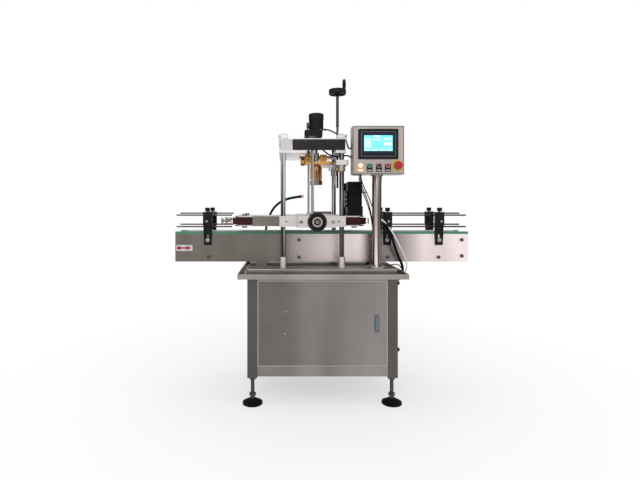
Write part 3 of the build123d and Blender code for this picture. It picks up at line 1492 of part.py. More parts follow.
def air_tubes():
    """Two air tubes from elbows on the capping frame to the box's left side."""
    pieces = []
    for route in air_routes:
        pieces.append(tube(route, air_tube_radius))
        x, y, z = route[0]
        pieces.append(Pos(x, y, z) * Box(10, 10, 10) - tube(route, air_tube_radius))
    return pieces


def cable_bundle():
    """Leads from the box's underside down behind the pole, two of them over the tray's right edge."""
    pieces = [tube(route, lead_radius) for route in bundle_routes]
    pieces.append(tube(sleeve_route, sleeve_tube_radius))
    pieces.append(tube(white_route, white_tube_radius))
    return pieces


# Every sub-part by name
sub_parts = {
    "cabinet_frame": cabinet_frame(),
    "cabinet_panels": cabinet_panels(),
    "table_tray": table_tray(),
    "door": door(),
    "door_latch": door_latch(),
    "levelling_feet": levelling_feet(),
    "side_plates": side_plates(),
    "cross_members": cross_members(),
    "slat_chain": slat_chain(),
    "drive_sprocket": end_wheel(shaft_x, True),
    "tail_sprocket": end_wheel(-shaft_x, False),
    "wear_strips": wear_strips(),
    "conveyor_motor": conveyor_motor(),
    "guide_brackets": guide_brackets() + guide_knobs(),
    "guide_rail_near_left": guide_rails(-half_length, left_rail_end, left_brackets, -1),
    "guide_rail_near_right": guide_rails(right_rail_end, half_length, right_brackets, -1),
    "guide_rail_far_left": guide_rails(-half_length, left_rail_end, left_brackets, 1),
    "guide_rail_far_right": guide_rails(right_rail_end, half_length, right_brackets, 1),
    "columns": columns(),
    "column_clamps": column_clamps(),
    "top_plates": top_plates(),
    "fascia": fascia(),
    "head_motor": head_motor(),
    "drive_shaft": drive_shaft(),
    "lift_screw": lift_screw(),
    "lift_wheel": lift_wheel(),
    "lift_grip": lift_grip(),
    "carriage_bar": carriage_bar(),
    "head_yoke": head_yoke(),
    "spindle": spindle(),
    "chuck_body": chuck_body(),
    "crossbars": crossbars(),
    "near_slide_rods": slide_rods(-1),
    "far_slide_rods": slide_rods(1),
    "width_wheel": width_wheel(),
    "width_grip": width_grip(),
    "near_unit_plates": near_unit_plates(),
    "near_belt": near_belt(),
    "near_drive_pulley": near_pulley(True),
    "near_idler_pulley": near_pulley(False),
    "near_belt_motor": near_motor(),
    "far_unit_plates": mirrored(near_unit_plates()),
    "far_belt": mirrored(near_belt()),
    "far_drive_pulley": mirrored(near_pulley(True)),
    "far_idler_pulley": mirrored(near_pulley(False)),
    "far_belt_motor": mirrored(near_motor()),
    "control_pole": control_pole(),
    "control_box": control_box(),
    "touch_panel": touch_panel(),
    "panel_fittings": panel_fittings(),
    "stop_button": stop_button(),
    "sensor_arm": sensor_arm(),
    "air_tubes": air_tubes(),
    "cable_bundle": cable_bundle(),
}
for number in range(3):
    sub_parts[f"finger_{number + 1}"] = finger(number)
for place, colour in controls:
    sub_parts[f"button_{colour}"] = push_button(place)

os.makedirs("parts", exist_ok=True)
for name, pieces in sub_parts.items():
    solids = [solid for piece in pieces for solid in piece.solids()]
    export_step(Compound(solids), f"parts/{name}.step")
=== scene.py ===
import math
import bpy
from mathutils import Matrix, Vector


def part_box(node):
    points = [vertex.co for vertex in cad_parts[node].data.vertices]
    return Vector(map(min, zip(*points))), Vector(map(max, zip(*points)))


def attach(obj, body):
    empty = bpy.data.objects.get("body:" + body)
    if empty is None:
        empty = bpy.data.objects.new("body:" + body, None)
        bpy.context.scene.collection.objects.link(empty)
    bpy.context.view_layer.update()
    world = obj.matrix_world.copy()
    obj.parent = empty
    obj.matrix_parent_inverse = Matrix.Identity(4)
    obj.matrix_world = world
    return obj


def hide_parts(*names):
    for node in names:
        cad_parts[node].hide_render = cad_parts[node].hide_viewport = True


bl_info = {
    "name": "Bottle capping machine",
    "version": (1, 0, 0),
    "blender": (4, 5, 0),
    "location": "3D View > Sidebar > Capper",
    "description": "Dresses an inline bottle capping machine with its finishes and fine detail",
    "category": "Object",
}

import bmesh
import bpy
import numpy as np
from mathutils import Vector

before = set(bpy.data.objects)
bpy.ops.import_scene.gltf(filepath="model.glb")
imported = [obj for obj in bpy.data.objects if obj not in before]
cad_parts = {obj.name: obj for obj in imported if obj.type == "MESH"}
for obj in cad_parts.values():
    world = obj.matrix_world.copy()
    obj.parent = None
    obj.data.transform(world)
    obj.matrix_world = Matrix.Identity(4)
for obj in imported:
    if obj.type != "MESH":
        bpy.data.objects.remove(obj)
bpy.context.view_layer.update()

MM = 0.001

# Places that several groups share, in millimetres
SHAFT_Z = 798.2
COLUMN_X = (-206.4, 93.6)
COLUMN_Y = 180
LIFT_X = COLUMN_X[1]
HEAD_X = -24.0
BELT_Y = 87.0
BELT_Z = 913
BELT_MOTOR_X = 172.0


# Where things are, read from the frame in millimetres
def low(node):
    """Lowest corner of a node's box."""
    return np.array(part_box(node)[0]) / MM


def high(node):
    """Highest corner of a node's box."""
    return np.array(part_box(node)[1]) / MM


def middle(node):
    """Centre of a node's box."""
    return (low(node) + high(node)) / 2


# Building blocks for meshes, all in millimetres
def grid(rows, columns, closed=False):
    """Quads over rings of points numbered ring by ring; the last ring joins the first one if closed."""
    r = np.arange(rows if closed else rows - 1)[:, None]
    c = np.arange(columns)[None, :]
    c2 = (c + 1) % columns
    ring, above = r * columns, (r + 1) % rows * columns
    return np.stack([ring + c, ring + c2, above + c2, above + c], -1).reshape(-1, 4)


def capped(rows, columns):
    """The quads of a grid, with one face over its first ring and one over its last."""
    return [*grid(rows, columns), range(columns), range((rows - 1) * columns, rows * columns)]


def joined(shapes):
    """Several (points, faces) pairs as one pair."""
    points = []
    faces = []
    start = 0
    for p, f in shapes:
        p = np.asarray(p, float).reshape(-1, 3)
        points.append(p)
        faces += [[int(i) + start for i in face] for face in f]
        start += len(p)
    return np.concatenate(points), faces


def piece(name, shapes, finish, body, smooth=True):
    """Make one object in metres from (points, faces) pairs, with doubles merged and faces turned outwards."""
    points, faces = joined(shapes)
    mesh = bpy.data.meshes.new(name)
    mesh.from_pydata((points * MM).tolist(), [], faces)
    work = bmesh.new()
    work.from_mesh(mesh)
    bmesh.ops.remove_doubles(work, verts=work.verts, dist=1e-6)
    bmesh.ops.dissolve_degenerate(work, edges=work.edges, dist=1e-7)
    bmesh.ops.recalc_face_normals(work, faces=work.faces)
    work.to_mesh(mesh)
    work.free()
    mesh.materials.append(FINISHES[finish])
    if smooth:
        mesh.polygons.foreach_set("use_smooth", np.ones(len(mesh.polygons), bool))
        mesh.set_sharp_from_angle(angle=math.radians(35))
    obj = bpy.data.objects.new(name, mesh)
    bpy.context.scene.collection.objects.link(obj)
    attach(obj, body)
    return obj


# Two directions square to each axis, and the axis
AXES = {
    "x": ((0, 1, 0), (0, 0, 1), (1, 0, 0)),
    "y": ((1, 0, 0), (0, 0, -1), (0, 1, 0)),
    "z": ((1, 0, 0), (0, 1, 0), (0, 0, 1)),
}


def turned(profile, centre, axis="z", segments=32):
    """Surface of revolution: (radius, height) points of a profile swept round by x = r cos a, y = r sin a."""
    profile = np.array(profile, float)
    a = np.linspace(0, 2 * np.pi, segments, endpoint=False)
    ring = np.stack([np.cos(a), np.sin(a)], -1)
    u, v, w = np.array(AXES[axis], float)
    radial = ring[:, :1] * u + ring[:, 1:] * v
    points = profile[:, 0, None, None] * radial[None] + profile[:, 1, None, None] * w
    return points + np.array(centre), grid(len(profile), segments)


def rounded_box(lo, hi, radius, steps=3):
    """Box swept by a ball: each point is an inner box's corner plus the radius times a direction."""
    lo = np.array(lo, float)
    hi = np.array(hi, float)
    radius = min(radius, (hi - lo).min() / 2 * 0.999)
    quarter = np.linspace(0, np.pi / 2, steps + 1)
    theta = np.concatenate([quarter + q * np.pi / 2 for q in range(4)])
    sx = np.repeat([1, -1, -1, 1], steps + 1)
    sy = np.repeat([1, 1, -1, -1], steps + 1)
    phi = np.concatenate([quarter - np.pi / 2, quarter])
    sz = np.repeat([-1, 1], steps + 1)
    inner = (hi - lo) / 2 - radius
    x = sx * inner[0] + radius * np.cos(phi)[:, None] * np.cos(theta)
    y = sy * inner[1] + radius * np.cos(phi)[:, None] * np.sin(theta)
    z = (sz * inner[2] + radius * np.sin(phi))[:, None] + 0 * theta
    points = np.stack([x, y, z], -1) + (lo + hi) / 2
    return points, capped(*x.shape)


def boxes(corners, radius, steps=3):
    """Rounded boxes between pairs of corners."""
    return [rounded_box(lo, hi, radius, steps) for lo, hi in corners]


def hex_head(centre, axis, across, height):
    """Hexagonal head with a crowned top: a profile swept round the axis in six steps."""
    r = across / 2 / math.cos(math.pi / 6)
    profile = [(0, 0), (r, 0), (r, height * 0.8), (r * 0.86, height), (0, height)]
    return turned(profile, centre, axis, 6)


def thread(x, y, z0, z1, radius, lead, depth):
    """Screw thread: radius plus depth times a triangle wave of height over lead less angle over a turn."""
    rows, segments = int((z1 - z0) / lead * 4), 24
    z = np.linspace(z0, z1, rows)[:, None]
    a = np.linspace(0, 2 * np.pi, segments, endpoint=False)[None, :]
    wave = np.abs(((z / lead - a / (2 * np.pi)) % 1) * 2 - 1)
    r = radius + depth * (wave - 0.5)
    points = np.stack([x + r * np.cos(a), y + r * np.sin(a), z + 0 * a], -1)
    return points, capped(rows, segments)


def shell_of(outer, inner, kept):
    """Closed shell between two grids of points, with the cells that aren't kept left open through it."""
    rows, columns = outer.shape[:2]
    total = rows * columns
    number = np.arange(total).reshape(rows, columns)
    r, c = np.nonzero(kept)
    cell = np.stack([number[r, c], number[r, c + 1], number[r + 1, c + 1], number[r + 1, c]], -1)
    upright = np.diff(np.pad(kept, ((0, 0), (1, 1))).astype(int), axis=1) != 0
    r, c = np.nonzero(upright)
    side = np.stack([number[r, c], number[r + 1, c], number[r + 1, c] + total, number[r, c] + total], -1)
    level = np.diff(np.pad(kept, ((1, 1), (0, 0))).astype(int), axis=0) != 0
    r, c = np.nonzero(level)
    end = np.stack([number[r, c], number[r, c + 1], number[r, c + 1] + total, number[r, c] + total], -1)
    points = np.concatenate([outer.reshape(-1, 3), inner.reshape(-1, 3)])
    return points, np.concatenate([cell, cell + total, side, end])


def bead(path, radius, segments=12):
    """Tube along a path not along Y: p + r (cos a side + sin a up), with r one number or one a point."""
    path = np.array(path, float)
    ahead = np.gradient(path, axis=0)
    ahead /= np.linalg.norm(ahead, axis=1)[:, None]
    side = np.cross(ahead, (0.0, 1.0, 0.0))
    side /= np.linalg.norm(side, axis=1)[:, None]
    up = np.cross(side, ahead)
    a = np.linspace(0, 2 * np.pi, segments, endpoint=False)
    circle = np.cos(a)[None, :, None] * side[:, None] + np.sin(a)[None, :, None] * up[:, None]
    points = path[:, None] + np.reshape(radius, (-1, 1, 1)) * circle
    return points, capped(len(path), segments)


def ringed(line, radius, pitch, growth=0.0):
    """Ringed hose along an even line, of radius r + growth s + 0.5 sin(2 pi s / pitch) at s along it."""
    run = np.linspace(0, 1, len(line)) * np.linalg.norm(np.diff(line, axis=0), axis=1).sum()
    return bead(line, radius + growth * run + 0.5 * np.sin(run * 2 * np.pi / pitch))


def slab(outline, front, back):
    """Flat plate facing the operator: an outline of (across, up) points carried from front to back."""
    points = np.stack([np.insert(np.array(outline, float), 1, y, axis=1) for y in (front, back)])
    return points, capped(2, len(outline))


def rounded_outline(x0, x1, z0, z1, radius, steps=4):
    """Rectangle with quarter circles at its corners, as points in turn."""
    a = np.linspace(0, np.pi / 2, steps + 1)
    turns = np.concatenate([a + q * np.pi / 2 for q in range(4)])
    cx = np.repeat([x1 - radius, x0 + radius, x0 + radius, x1 - radius], steps + 1)
    cz = np.repeat([z1 - radius, z1 - radius, z0 + radius, z0 + radius], steps + 1)
    return np.stack([cx + radius * np.cos(turns), cz + radius * np.sin(turns)], -1)


def inset(x0, x1, z0, z1, by, radius):
    """Rounded rectangle at a distance inside another one."""
    return x0 + by, x1 - by, z0 + by, z1 - by, radius


def framed(outer, inner, front, back):
    """Flat frame facing the operator: the strip between two rounded rectangles, with its four walls."""
    loops = ((outer, front), (inner, front), (inner, back), (outer, back))
    points = np.stack([np.insert(rounded_outline(*loop), 1, y, axis=1) for loop, y in loops])
    return points, grid(*points.shape[:2], closed=True)


def plate(x0, x1, z0, z1, front, back, radius):
    """Thin plate with rounded corners that faces the operator."""
    return slab(rounded_outline(x0, x1, z0, z1, radius), front, back)


def sockets(places, axis, size, facing=1):
    """Round screw heads with six-sided recesses: two profiles swept round the axis, out from each place."""
    r = size / 2
    h = size * 0.55 * facing
    head = [(0, 0), (r, 0), (r, h * 0.86), (r * 0.9, h), (r * 0.56, h)]
    recess = [(r * 0.56, h), (r * 0.54, h * 0.35), (0, h * 0.35)]
    return [turned(profile, place, axis, sides)
            for place in places for profile, sides in ((head, 20), (recess, 6))]


def grille(name, x, y, top, radii, foot, segments, body):
    """Fan grille in a motor's cap: ridges turned about Z, each a foot wide on both sides of its radius."""
    crest = foot - 0.4
    ridge = np.array([(-foot, -0.6), (-crest, -0.02), (crest, -0.02), (foot, -0.6)])
    rings = [turned(ridge + (radius, top), (x, y, 0), "z", segments) for radius in radii]
    piece(name, rings, "rubber", body)


def route_curve(points, count=200):
    """Smooth line of a lead: its quadratic NURBS spline through Blender, as points spaced evenly along it."""
    curve = bpy.data.curves.new("route", "CURVE")
    curve.dimensions = "3D"
    spline = curve.splines.new("NURBS")
    spline.points.add(len(points) - 1)
    spline.points.foreach_set("co", np.array([(*p, 1.0) for p in points], float).ravel())
    spline.order_u = 3
    spline.use_endpoint_u = True
    spline.resolution_u = 16
    holder = bpy.data.objects.new("route", curve)
    mesh = bpy.data.meshes.new_from_object(holder)
    line = np.empty(len(mesh.vertices) * 3)
    mesh.vertices.foreach_get("co", line)
    line = line.reshape(-1, 3)
    bpy.data.objects.remove(holder)
    bpy.data.curves.remove(curve)
    bpy.data.meshes.remove(mesh)
    run = np.concatenate([[0], np.cumsum(np.linalg.norm(np.diff(line, axis=0), axis=1))])
    even = np.linspace(0, run[-1], count)
    return np.stack([np.interp(even, run, line[:, k]) for k in range(3)], -1)


# Materials
def add_node(tree, kind, links=(), **values):
    """Add a shader node with its inputs set by name, and lead outputs into it by (output, input) pairs."""
    node = tree.nodes.new("ShaderNode" + kind)
    for key, value in values.items():
        node.inputs[key.replace("_", " ")].default_value = value
    for output, key in links:
        tree.links.new(output, node.inputs[key])
    return node


def combined(tree, operation, first, second):
    """One value made of two by a Math node."""
    node = add_node(tree, "Math", ((first, 0), (second, 1)))
    node.operation = operation
    return node.outputs[0]


def scaled(colour, factor):
    """A colour made lighter or darker."""
    return tuple(c * factor for c in colour)


class Finish:
    """One procedural material, built on Object coordinates."""

    def __init__(self, name, colour, metallic=0.0, roughness=0.5, **values):
        self.material = bpy.data.materials.new(name)
        self.material.use_nodes = True
        self.tree = self.material.node_tree
        self.shader = self.tree.nodes["Principled BSDF"]
        self.colour = (*colour, 1.0)
        values.update(Base_Color=self.colour, Metallic=metallic, Roughness=roughness)
        for key, value in values.items():
            self.shader.inputs[key.replace("_", " ")].default_value = value
        self.place = self.add("TexCoord").outputs["Object"]

    def add(self, kind, *links, **values):
        """Add a node to this material."""
        return add_node(self.tree, kind, links, **values)

    def spread(self, kind, stretch, **values):
        """Texture over the piece, drawn out where stretch is small."""
        mapping = self.add("Mapping", (self.place, "Vector"), Scale=stretch)
        return self.add(kind, (mapping.outputs["Vector"], "Vector"), **values)

    def noise(self, scale, stretch=(1, 1, 1), detail=4.0):
        """Soft noise."""
        return self.spread("TexNoise", stretch, Scale=scale, Detail=detail).outputs["Fac"]

    def cells(self, scale):
        """Distance to the nearest of scattered points."""
        return self.spread("TexVoronoi", (1, 1, 1), Scale=scale).outputs["Distance"]

    def ramp(self, value, low_at, high_at, low_value=0.0, high_value=1.0):
        """Value remapped from one range to another."""
        ends = {"From_Min": low_at, "From_Max": high_at, "To_Min": low_value, "To_Max": high_value}
        return self.add("MapRange", (value, "Value"), **ends).outputs["Result"]

    def along_x(self, start, end):
        """How far a point lies between two places along the conveyor, from 0 to 1."""
        apart = self.add("SeparateXYZ", (self.place, "Vector"))
        return self.ramp(apart.outputs["X"], start * MM, end * MM)

    def band(self, start, full, fade, end):
        """1 between two places along the conveyor, fading to 0 on either side."""
        return combined(self.tree, "MULTIPLY", self.along_x(start, full), self.along_x(end, fade))

    def stripes(self, width):
        """Stripes across the conveyor as wide as their gaps: the texture repeats every 2 pi / (20 scale)."""
        wave = self.add("TexWave", (self.place, "Vector"), Scale=math.tau / 20 / (2 * width * MM))
        wave.bands_direction = "X"
        return self.ramp(wave.outputs["Fac"], 0.2, 0.8)

    def tint(self, factor, other, base=None, blend="MIX"):
        """Blend the base colour towards another by a factor, or multiply it by another."""
        mix = self.add("Mix", (factor, "Factor"))
        mix.data_type = "RGBA"
        mix.blend_type = blend
        mix.inputs["A"].default_value = self.colour
        mix.inputs["B"].default_value = (*other, 1.0)
        if base is not None:
            self.tree.links.new(base, mix.inputs["A"])
        self.tree.links.new(mix.outputs["Result"], self.shader.inputs["Base Color"])
        return mix.outputs["Result"]

    def rough(self, value):
        """Lead a value into the roughness."""
        self.tree.links.new(value, self.shader.inputs["Roughness"])

    def bump(self, height, strength, distance):
        """Raise the surface by a height value, and hand back the finished material."""
        node = self.add("Bump", (height, "Height"), Strength=strength, Distance=distance)
        self.tree.links.new(node.outputs["Normal"], self.shader.inputs["Normal"])
        return self.material


def grained_with_painted_sheen(name, colour, along, roughness=0.36, contrast=0.5, scale=3.4, right=None, span=(-330, 330),
            shade=None):
    """Brushed stainless steel: fine scratches along one axis over broad upright bands of painted sheen, and
    slow stains.

    The colour may change along X to another at the right over a span, a painted change of reflected light,
    and darken over one broad band of painted shade that stands in for a dark reflection."""
    steel = Finish(name, colour, 1.0, roughness)
    stretch = tuple(0.02 if axis == along else 1.0 for axis in "xyz")
    grain = steel.noise(900.0, stretch, 3.0)
    sheen_bands = steel.noise(scale, (1, 1, 0.16), 2.0)
    cloud = steel.noise(9.0, (1, 1, 1), 4.0)
    base = None
    # Painted reflection: the colour changes along X to the right-hand tone, standing in for reflected light.
    if right is not None:
        base = steel.tint(steel.along_x(*span), right)
    # Painted shade: one broad band along X made darker, standing in for a dark reflection.
    if shade is not None:
        base = steel.tint(steel.band(*shade), (0.3, 0.3, 0.3), base, "MULTIPLY")
    darker = (1 - contrast,) * 3
    # Painted sheen: broad upright bands darken the colour in stripes, standing in for reflections; the stains
    # and grain below are the steel's own.
    sheen_banded = steel.tint(steel.ramp(sheen_bands, 0.42, 0.62, 0.0, 0.85), darker, base, "MULTIPLY")
    stained = steel.tint(steel.ramp(cloud, 0.5, 0.72, 0.0, 0.3), darker, sheen_banded, "MULTIPLY")
    steel.tint(steel.ramp(grain, 0.35, 0.75, 0.4, 0.0), darker, stained, "MULTIPLY")
    steel.rough(steel.ramp(grain, 0.3, 0.7, roughness - 0.09, roughness + 0.1))
    return steel.bump(grain, 0.14, 0.0004)


def machined(name, colour, roughness, metallic=1.0):
    """Machined or anodised metal: a very fine tooth with faint cloudy change of tone."""
    metal = Finish(name, colour, metallic, roughness)
    tooth = metal.noise(1400.0, (1, 1, 0.15), 2.0)
    cloud = metal.noise(14.0)
    metal.tint(metal.ramp(cloud, 0.3, 0.7, 0.0, 0.5), scaled(colour, 0.8))
    metal.rough(metal.ramp(tooth, 0.3, 0.7, roughness - 0.06, roughness + 0.08))
    return metal.bump(tooth, 0.08, 0.0003)


def polished(name, colour, roughness, dark, scale=170.0):
    """Polished bar: bright, with darker streaks drawn out along its length as painted reflections, and faint
    handling marks.
    """
    metal = Finish(name, colour, 1.0, roughness)
    reflection_streaks = metal.noise(scale, (1, 1, 0.012), 1.5)
    marks = metal.noise(60.0, (1, 1, 0.2), 5.0)
    # Painted reflection: the dark streaks stand in for the dark things the bar mirrors.
    metal.tint(metal.ramp(reflection_streaks, 0.44, 0.56), scaled(colour, dark))
    metal.rough(metal.ramp(marks, 0.35, 0.75, roughness - 0.03, roughness + 0.12))
    return metal.bump(marks, 0.03, 0.0005)


def moulded(name, colour, roughness, grain, coat=0.0, shine=0.3):
    """Moulded plastic, rubber or powder coat: a fine pebbled skin with slight change of tone."""
    skin = Finish(name, colour, 0.0, roughness, Coat_Weight=coat, Specular_IOR_Level=shine)
    pebble = skin.cells(900.0)
    dust = skin.noise(20.0, (1, 1, 1), 6.0)
    skin.tint(skin.ramp(dust, 0.45, 0.8, 0.0, 0.35), tuple(min(1, c * 1.5 + 0.012) for c in colour))
    skin.rough(skin.ramp(dust, 0.3, 0.7, roughness - 0.08, roughness + 0.1))
    return skin.bump(pebble, grain, 0.0004)


def ribbed(name, colour, width):
    """Gripping belt: soft rubber with fine cross ribs and a dusty face."""
    belt = Finish(name, colour, 0.0, 0.6, Specular_IOR_Level=0.15)
    dust = belt.noise(35.0, (1, 1, 1), 5.0)
    belt.tint(belt.ramp(dust, 0.45, 0.75, 0.0, 0.4), tuple(c * 2.2 + 0.01 for c in colour))
    belt.rough(belt.ramp(dust, 0.3, 0.7, 0.5, 0.72))
    return belt.bump(belt.stripes(width), 0.5, 0.0008)


def glossy(name, colour, roughness=0.25, grain=0.01):
    """Smooth lacquered plastic: a moulded skin with a thin clear coat."""
    return moulded(name, colour, roughness, grain, 0.12, 0.2)


def glowing(name, colour, glow, strength):
    """A lit face: its own light over a plain colour, uneven as a backlight is."""
    lit = Finish(name, colour, 0.0, 0.3, Emission_Color=(*glow, 1.0), Emission_Strength=strength)
    uneven = lit.noise(30.0)
    lit.tint(lit.ramp(uneven, 0.3, 0.7, 0.0, 0.3), scaled(colour, 0.8))
    return lit.material


FINISHES = {}


def make_finishes(colours):
    """Every finish of the machine by name."""
    steel = tuple(colours.steel)
    box = tuple(colours.box)
    # Rows of key, name, shade, along, contrast and right. Shade is painted shade and light: one stainless
    # steel made darker on the uprights and posts and lighter on the level faces and the tray, for how light
    # falls on them. Along is the grain's axis, contrast how dark the bands, stains and grain go, and right
    # the lighter tone painted at the cabinet's right-hand end for reflected light.
    for key, name, shade, along, contrast, right in (
        ("upright steel, painted shade", "Brushed steel upright, painted shade", 0.55, "z", 0.26, 1.25),
        ("level steel, painted light", "Brushed steel level, painted light", 0.9, "x", 0.3, 1.35),
        ("post steel, painted shade", "Brushed steel posts, painted shade", 0.4, "z", 0.35, 0.58),
        ("tray steel, painted light", "Brushed steel tray, painted light", 1.15, "x", 0.3, 1.6),
    ):
        FINISHES[key] = grained_with_painted_sheen(name, scaled(steel, shade), along, contrast=contrast,
                                right=scaled(steel, right))
    FINISHES.update({
        "box steel": grained_with_painted_sheen("Brushed steel box", box, "x", 0.34, 0.16, 5.0),
        # The polished finishes carry painted reflection streaks, darkest on the pole and the columns.
        "pole steel": polished("Pole steel", scaled(box, 1.9), 0.2, 0.12, 95.0),
        # Conveyor side plates: painted reflections, dark at the infeed and pale at the outfeed from X -230 to
        # 190 mm, and one broad darker band of painted shade from X 200 to 560 mm.
        "plate steel, painted reflections": grained_with_painted_sheen("Conveyor side steel, painted reflections", tuple(colours.conveyor), "x", 0.32, 0.2, 5.0,
                               tuple(colours.conveyor_right_painted_reflection), (-230, 190), (200, 262, 400, 560)),
        "deck steel": grained_with_painted_sheen("Deck steel", scaled(steel, 0.95), "x", 0.5, 0.2),
        "column steel": polished("Polished columns", (0.46, 0.44, 0.42), 0.12, 0.06, 150.0),
        "bright steel": polished("Polished steel", (0.42, 0.40, 0.385), 0.14, 0.4),
        "rail steel": polished("Rail rod", (0.11, 0.10, 0.094), 0.22, 0.6),
        "screw steel": polished("Screw steel", (0.07, 0.063, 0.057), 0.26, 0.7),
        "dark steel": machined("Dark steel", (0.085, 0.075, 0.07), 0.34),
        "zinc": machined("Zinc plate", (0.36, 0.345, 0.325), 0.3),
        "silver": machined("Machined aluminium", tuple(colours.aluminium), 0.4),
        # Near-white aluminium for the top plates' undersides: a painted highlight for the floor's bright
        # reflection.
        "painted highlight silver": machined("Aluminium, painted highlight", (0.95, 0.94, 0.93), 0.5),
        "cover steel": grained_with_painted_sheen("Unit cover", (0.21, 0.185, 0.165), "x", 0.36, 0.25, 8.0),
        "grey steel": machined("Grey steel", (0.22, 0.205, 0.19), 0.32),
        "gold": machined("Gold anodised", tuple(colours.gold), 0.32),
        "copper": machined("Copper gold", (0.46, 0.215, 0.095), 0.3),
        "black coat": moulded("Black powder coat", (0.012, 0.013, 0.015), 0.4, 0.1, shine=0.1),
        "black plastic": moulded("Black moulding", (0.010, 0.010, 0.011), 0.42, 0.16, shine=0.1),
        "rubber": moulded("Black rubber", (0.006, 0.006, 0.006), 0.7, 0.3, shine=0.05),
        "motor black": moulded("Motor black", (0.006, 0.006, 0.007), 0.36, 0.1, shine=0.06),
        "black gloss": glossy("Black gloss", (0.008, 0.008, 0.010), 0.16, 0.02),
        "belt": ribbed("Maroon belt", tuple(colours.belt), 5.0),
        "green": moulded("Green strip", tuple(colours.strip), 0.4, 0.05),
        "slat": moulded("Chain plastic", (0.50, 0.50, 0.48), 0.4, 0.05),
        "latch": machined("Blue grey latch", (0.15, 0.18, 0.21), 0.42, 0.4),
        "bezel": moulded("Panel bezel", (0.015, 0.016, 0.020), 0.35, 0.1, shine=0.08),
        "navy": glossy("Panel inner face", (0.008, 0.013, 0.034), 0.2, 0.02),
        "line grey": moulded("Panel line", (0.20, 0.20, 0.205), 0.4, 0.03),
        "white": moulded("White plate", (0.60, 0.585, 0.58), 0.4, 0.03),
        "white tube": moulded("White tube", (0.80, 0.79, 0.77), 0.35, 0.03),
        "decal red": moulded("Red decal", (0.33, 0.015, 0.045), 0.4, 0.02),
        "yellow": moulded("Yellow collar", (0.60, 0.42, 0.10), 0.4, 0.04),
        "green button": glossy("Green button", (0.015, 0.15, 0.09)),
        "maroon button": glossy("Maroon button", (0.11, 0.012, 0.03)),
        "red button": glossy("Red button", (0.40, 0.022, 0.03)),
        "blue tube": glossy("Blue tube", (0.012, 0.022, 0.095), 0.22, 0.01),
        "lead": moulded("Black lead", (0.007, 0.007, 0.007), 0.5, 0.08, shine=0.08),
        "pink": moulded("Pink tip", (0.80, 0.36, 0.38), 0.4, 0.02),
        "brass": machined("Brass", (0.58, 0.40, 0.12), 0.3),
        "screen": glowing("Screen field", (0.05, 0.40, 0.45), (0.28, 0.88, 0.98), 0.75),
        "screen white": glowing("Screen boxes", (0.4, 0.5, 0.5), (0.75, 0.97, 1.0), 0.75),
        "screen dark": glowing("Screen bar", (0.02, 0.10, 0.14), (0.12, 0.60, 0.66), 0.6),
        "lamp": glowing("Lit lamp", (0.8, 0.6, 0.35), (1.0, 0.86, 0.55), 1.1),
        # Painted glow for the fitting's face round and below the lamp, which is no lamp itself.
        "painted lamp glow": glowing("Painted lamp glow", (0.6, 0.10, 0.08), (1.0, 0.20, 0.14), 0.8),
    })


def dress(node, finish, *others):
    """Give a CAD node its finish, and other finishes to the faces whose centres pass a test."""
    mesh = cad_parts[node].data
    mesh.materials.clear()
    mesh.materials.append(FINISHES[finish])
    count = len(mesh.polygons)
    index = np.zeros(count, np.int32)
    centres = np.empty(count * 3)
    mesh.polygons.foreach_get("center", centres)
    centres = centres.reshape(-1, 3).T
    for number, (name, test) in enumerate(others, 1):
        mesh.materials.append(FINISHES[name])
        index[test(centres)] = number
    mesh.polygons.foreach_set("material_index", index)
    mesh.update()


def within(x=None, y=None, z=None):
    """Test for face centres that lie in the given ranges, in millimetres."""
    def test(centres):
        keep = np.ones(centres.shape[1], bool)
        for values, span in zip(centres, (x, y, z)):
            if span is not None:
                keep &= (values > span[0] * MM) & (values < span[1] * MM)
        return keep
    return test


def about(places, radius, axis="z", **ranges):
    """Test for face centres within a radius of lines along Y or Z, in millimetres."""
    across = (0, 2 if axis == "y" else 1)

    def test(centres):
        a, b = centres[across, :]
        near = np.zeros(len(a), bool)
        for u, v in places:
            near |= (a - u * MM) ** 2 + (b - v * MM) ** 2 < (radius * MM) ** 2
        return near & within(**ranges)(centres)
    return test


def either(*tests):
    """Test that holds where any of several does."""
    return lambda centres: np.any([test(centres) for test in tests], axis=0)


# What a user would change
def tone(name, description, default):
    """Setting for a colour."""
    return bpy.props.FloatVectorProperty(name=name, description=description, default=default, subtype="COLOR")


def scalar(name, description, default, **limits):
    """Setting for a number."""
    return bpy.props.FloatProperty(name=name, description=description, default=default, **limits)


class CapperColours(bpy.types.PropertyGroup):
    """Colours of the finishes, as linear values."""

    steel: tone("Stainless steel", "Tone of the brushed cabinet", (0.30, 0.275, 0.26))
    box: tone("Operator box", "Tone of the box and its pole", (0.48, 0.42, 0.385))
    # The side plates change from the infeed tone to the outfeed tone along X as a painted reflection, not as
    # the steel's own colour.
    conveyor: tone("Conveyor side", "Tone of the side plates' infeed end", (0.19, 0.17, 0.15))
    conveyor_right_painted_reflection: tone("Conveyor outfeed", "Tone of the side plates' outfeed end", (0.97, 0.85, 0.83))
    aluminium: tone("Aluminium", "Tone of the machined plates and bars", (0.60, 0.56, 0.55))
    gold: tone("Anodised gold", "Tone of the head's yoke", (0.68, 0.37, 0.12))
    belt: tone("Belt", "Tone of the gripping belts", (0.032, 0.0045, 0.009))
    strip: tone("Wear strip", "Tone of the chain's wear strips", (0.07, 0.22, 0.135))


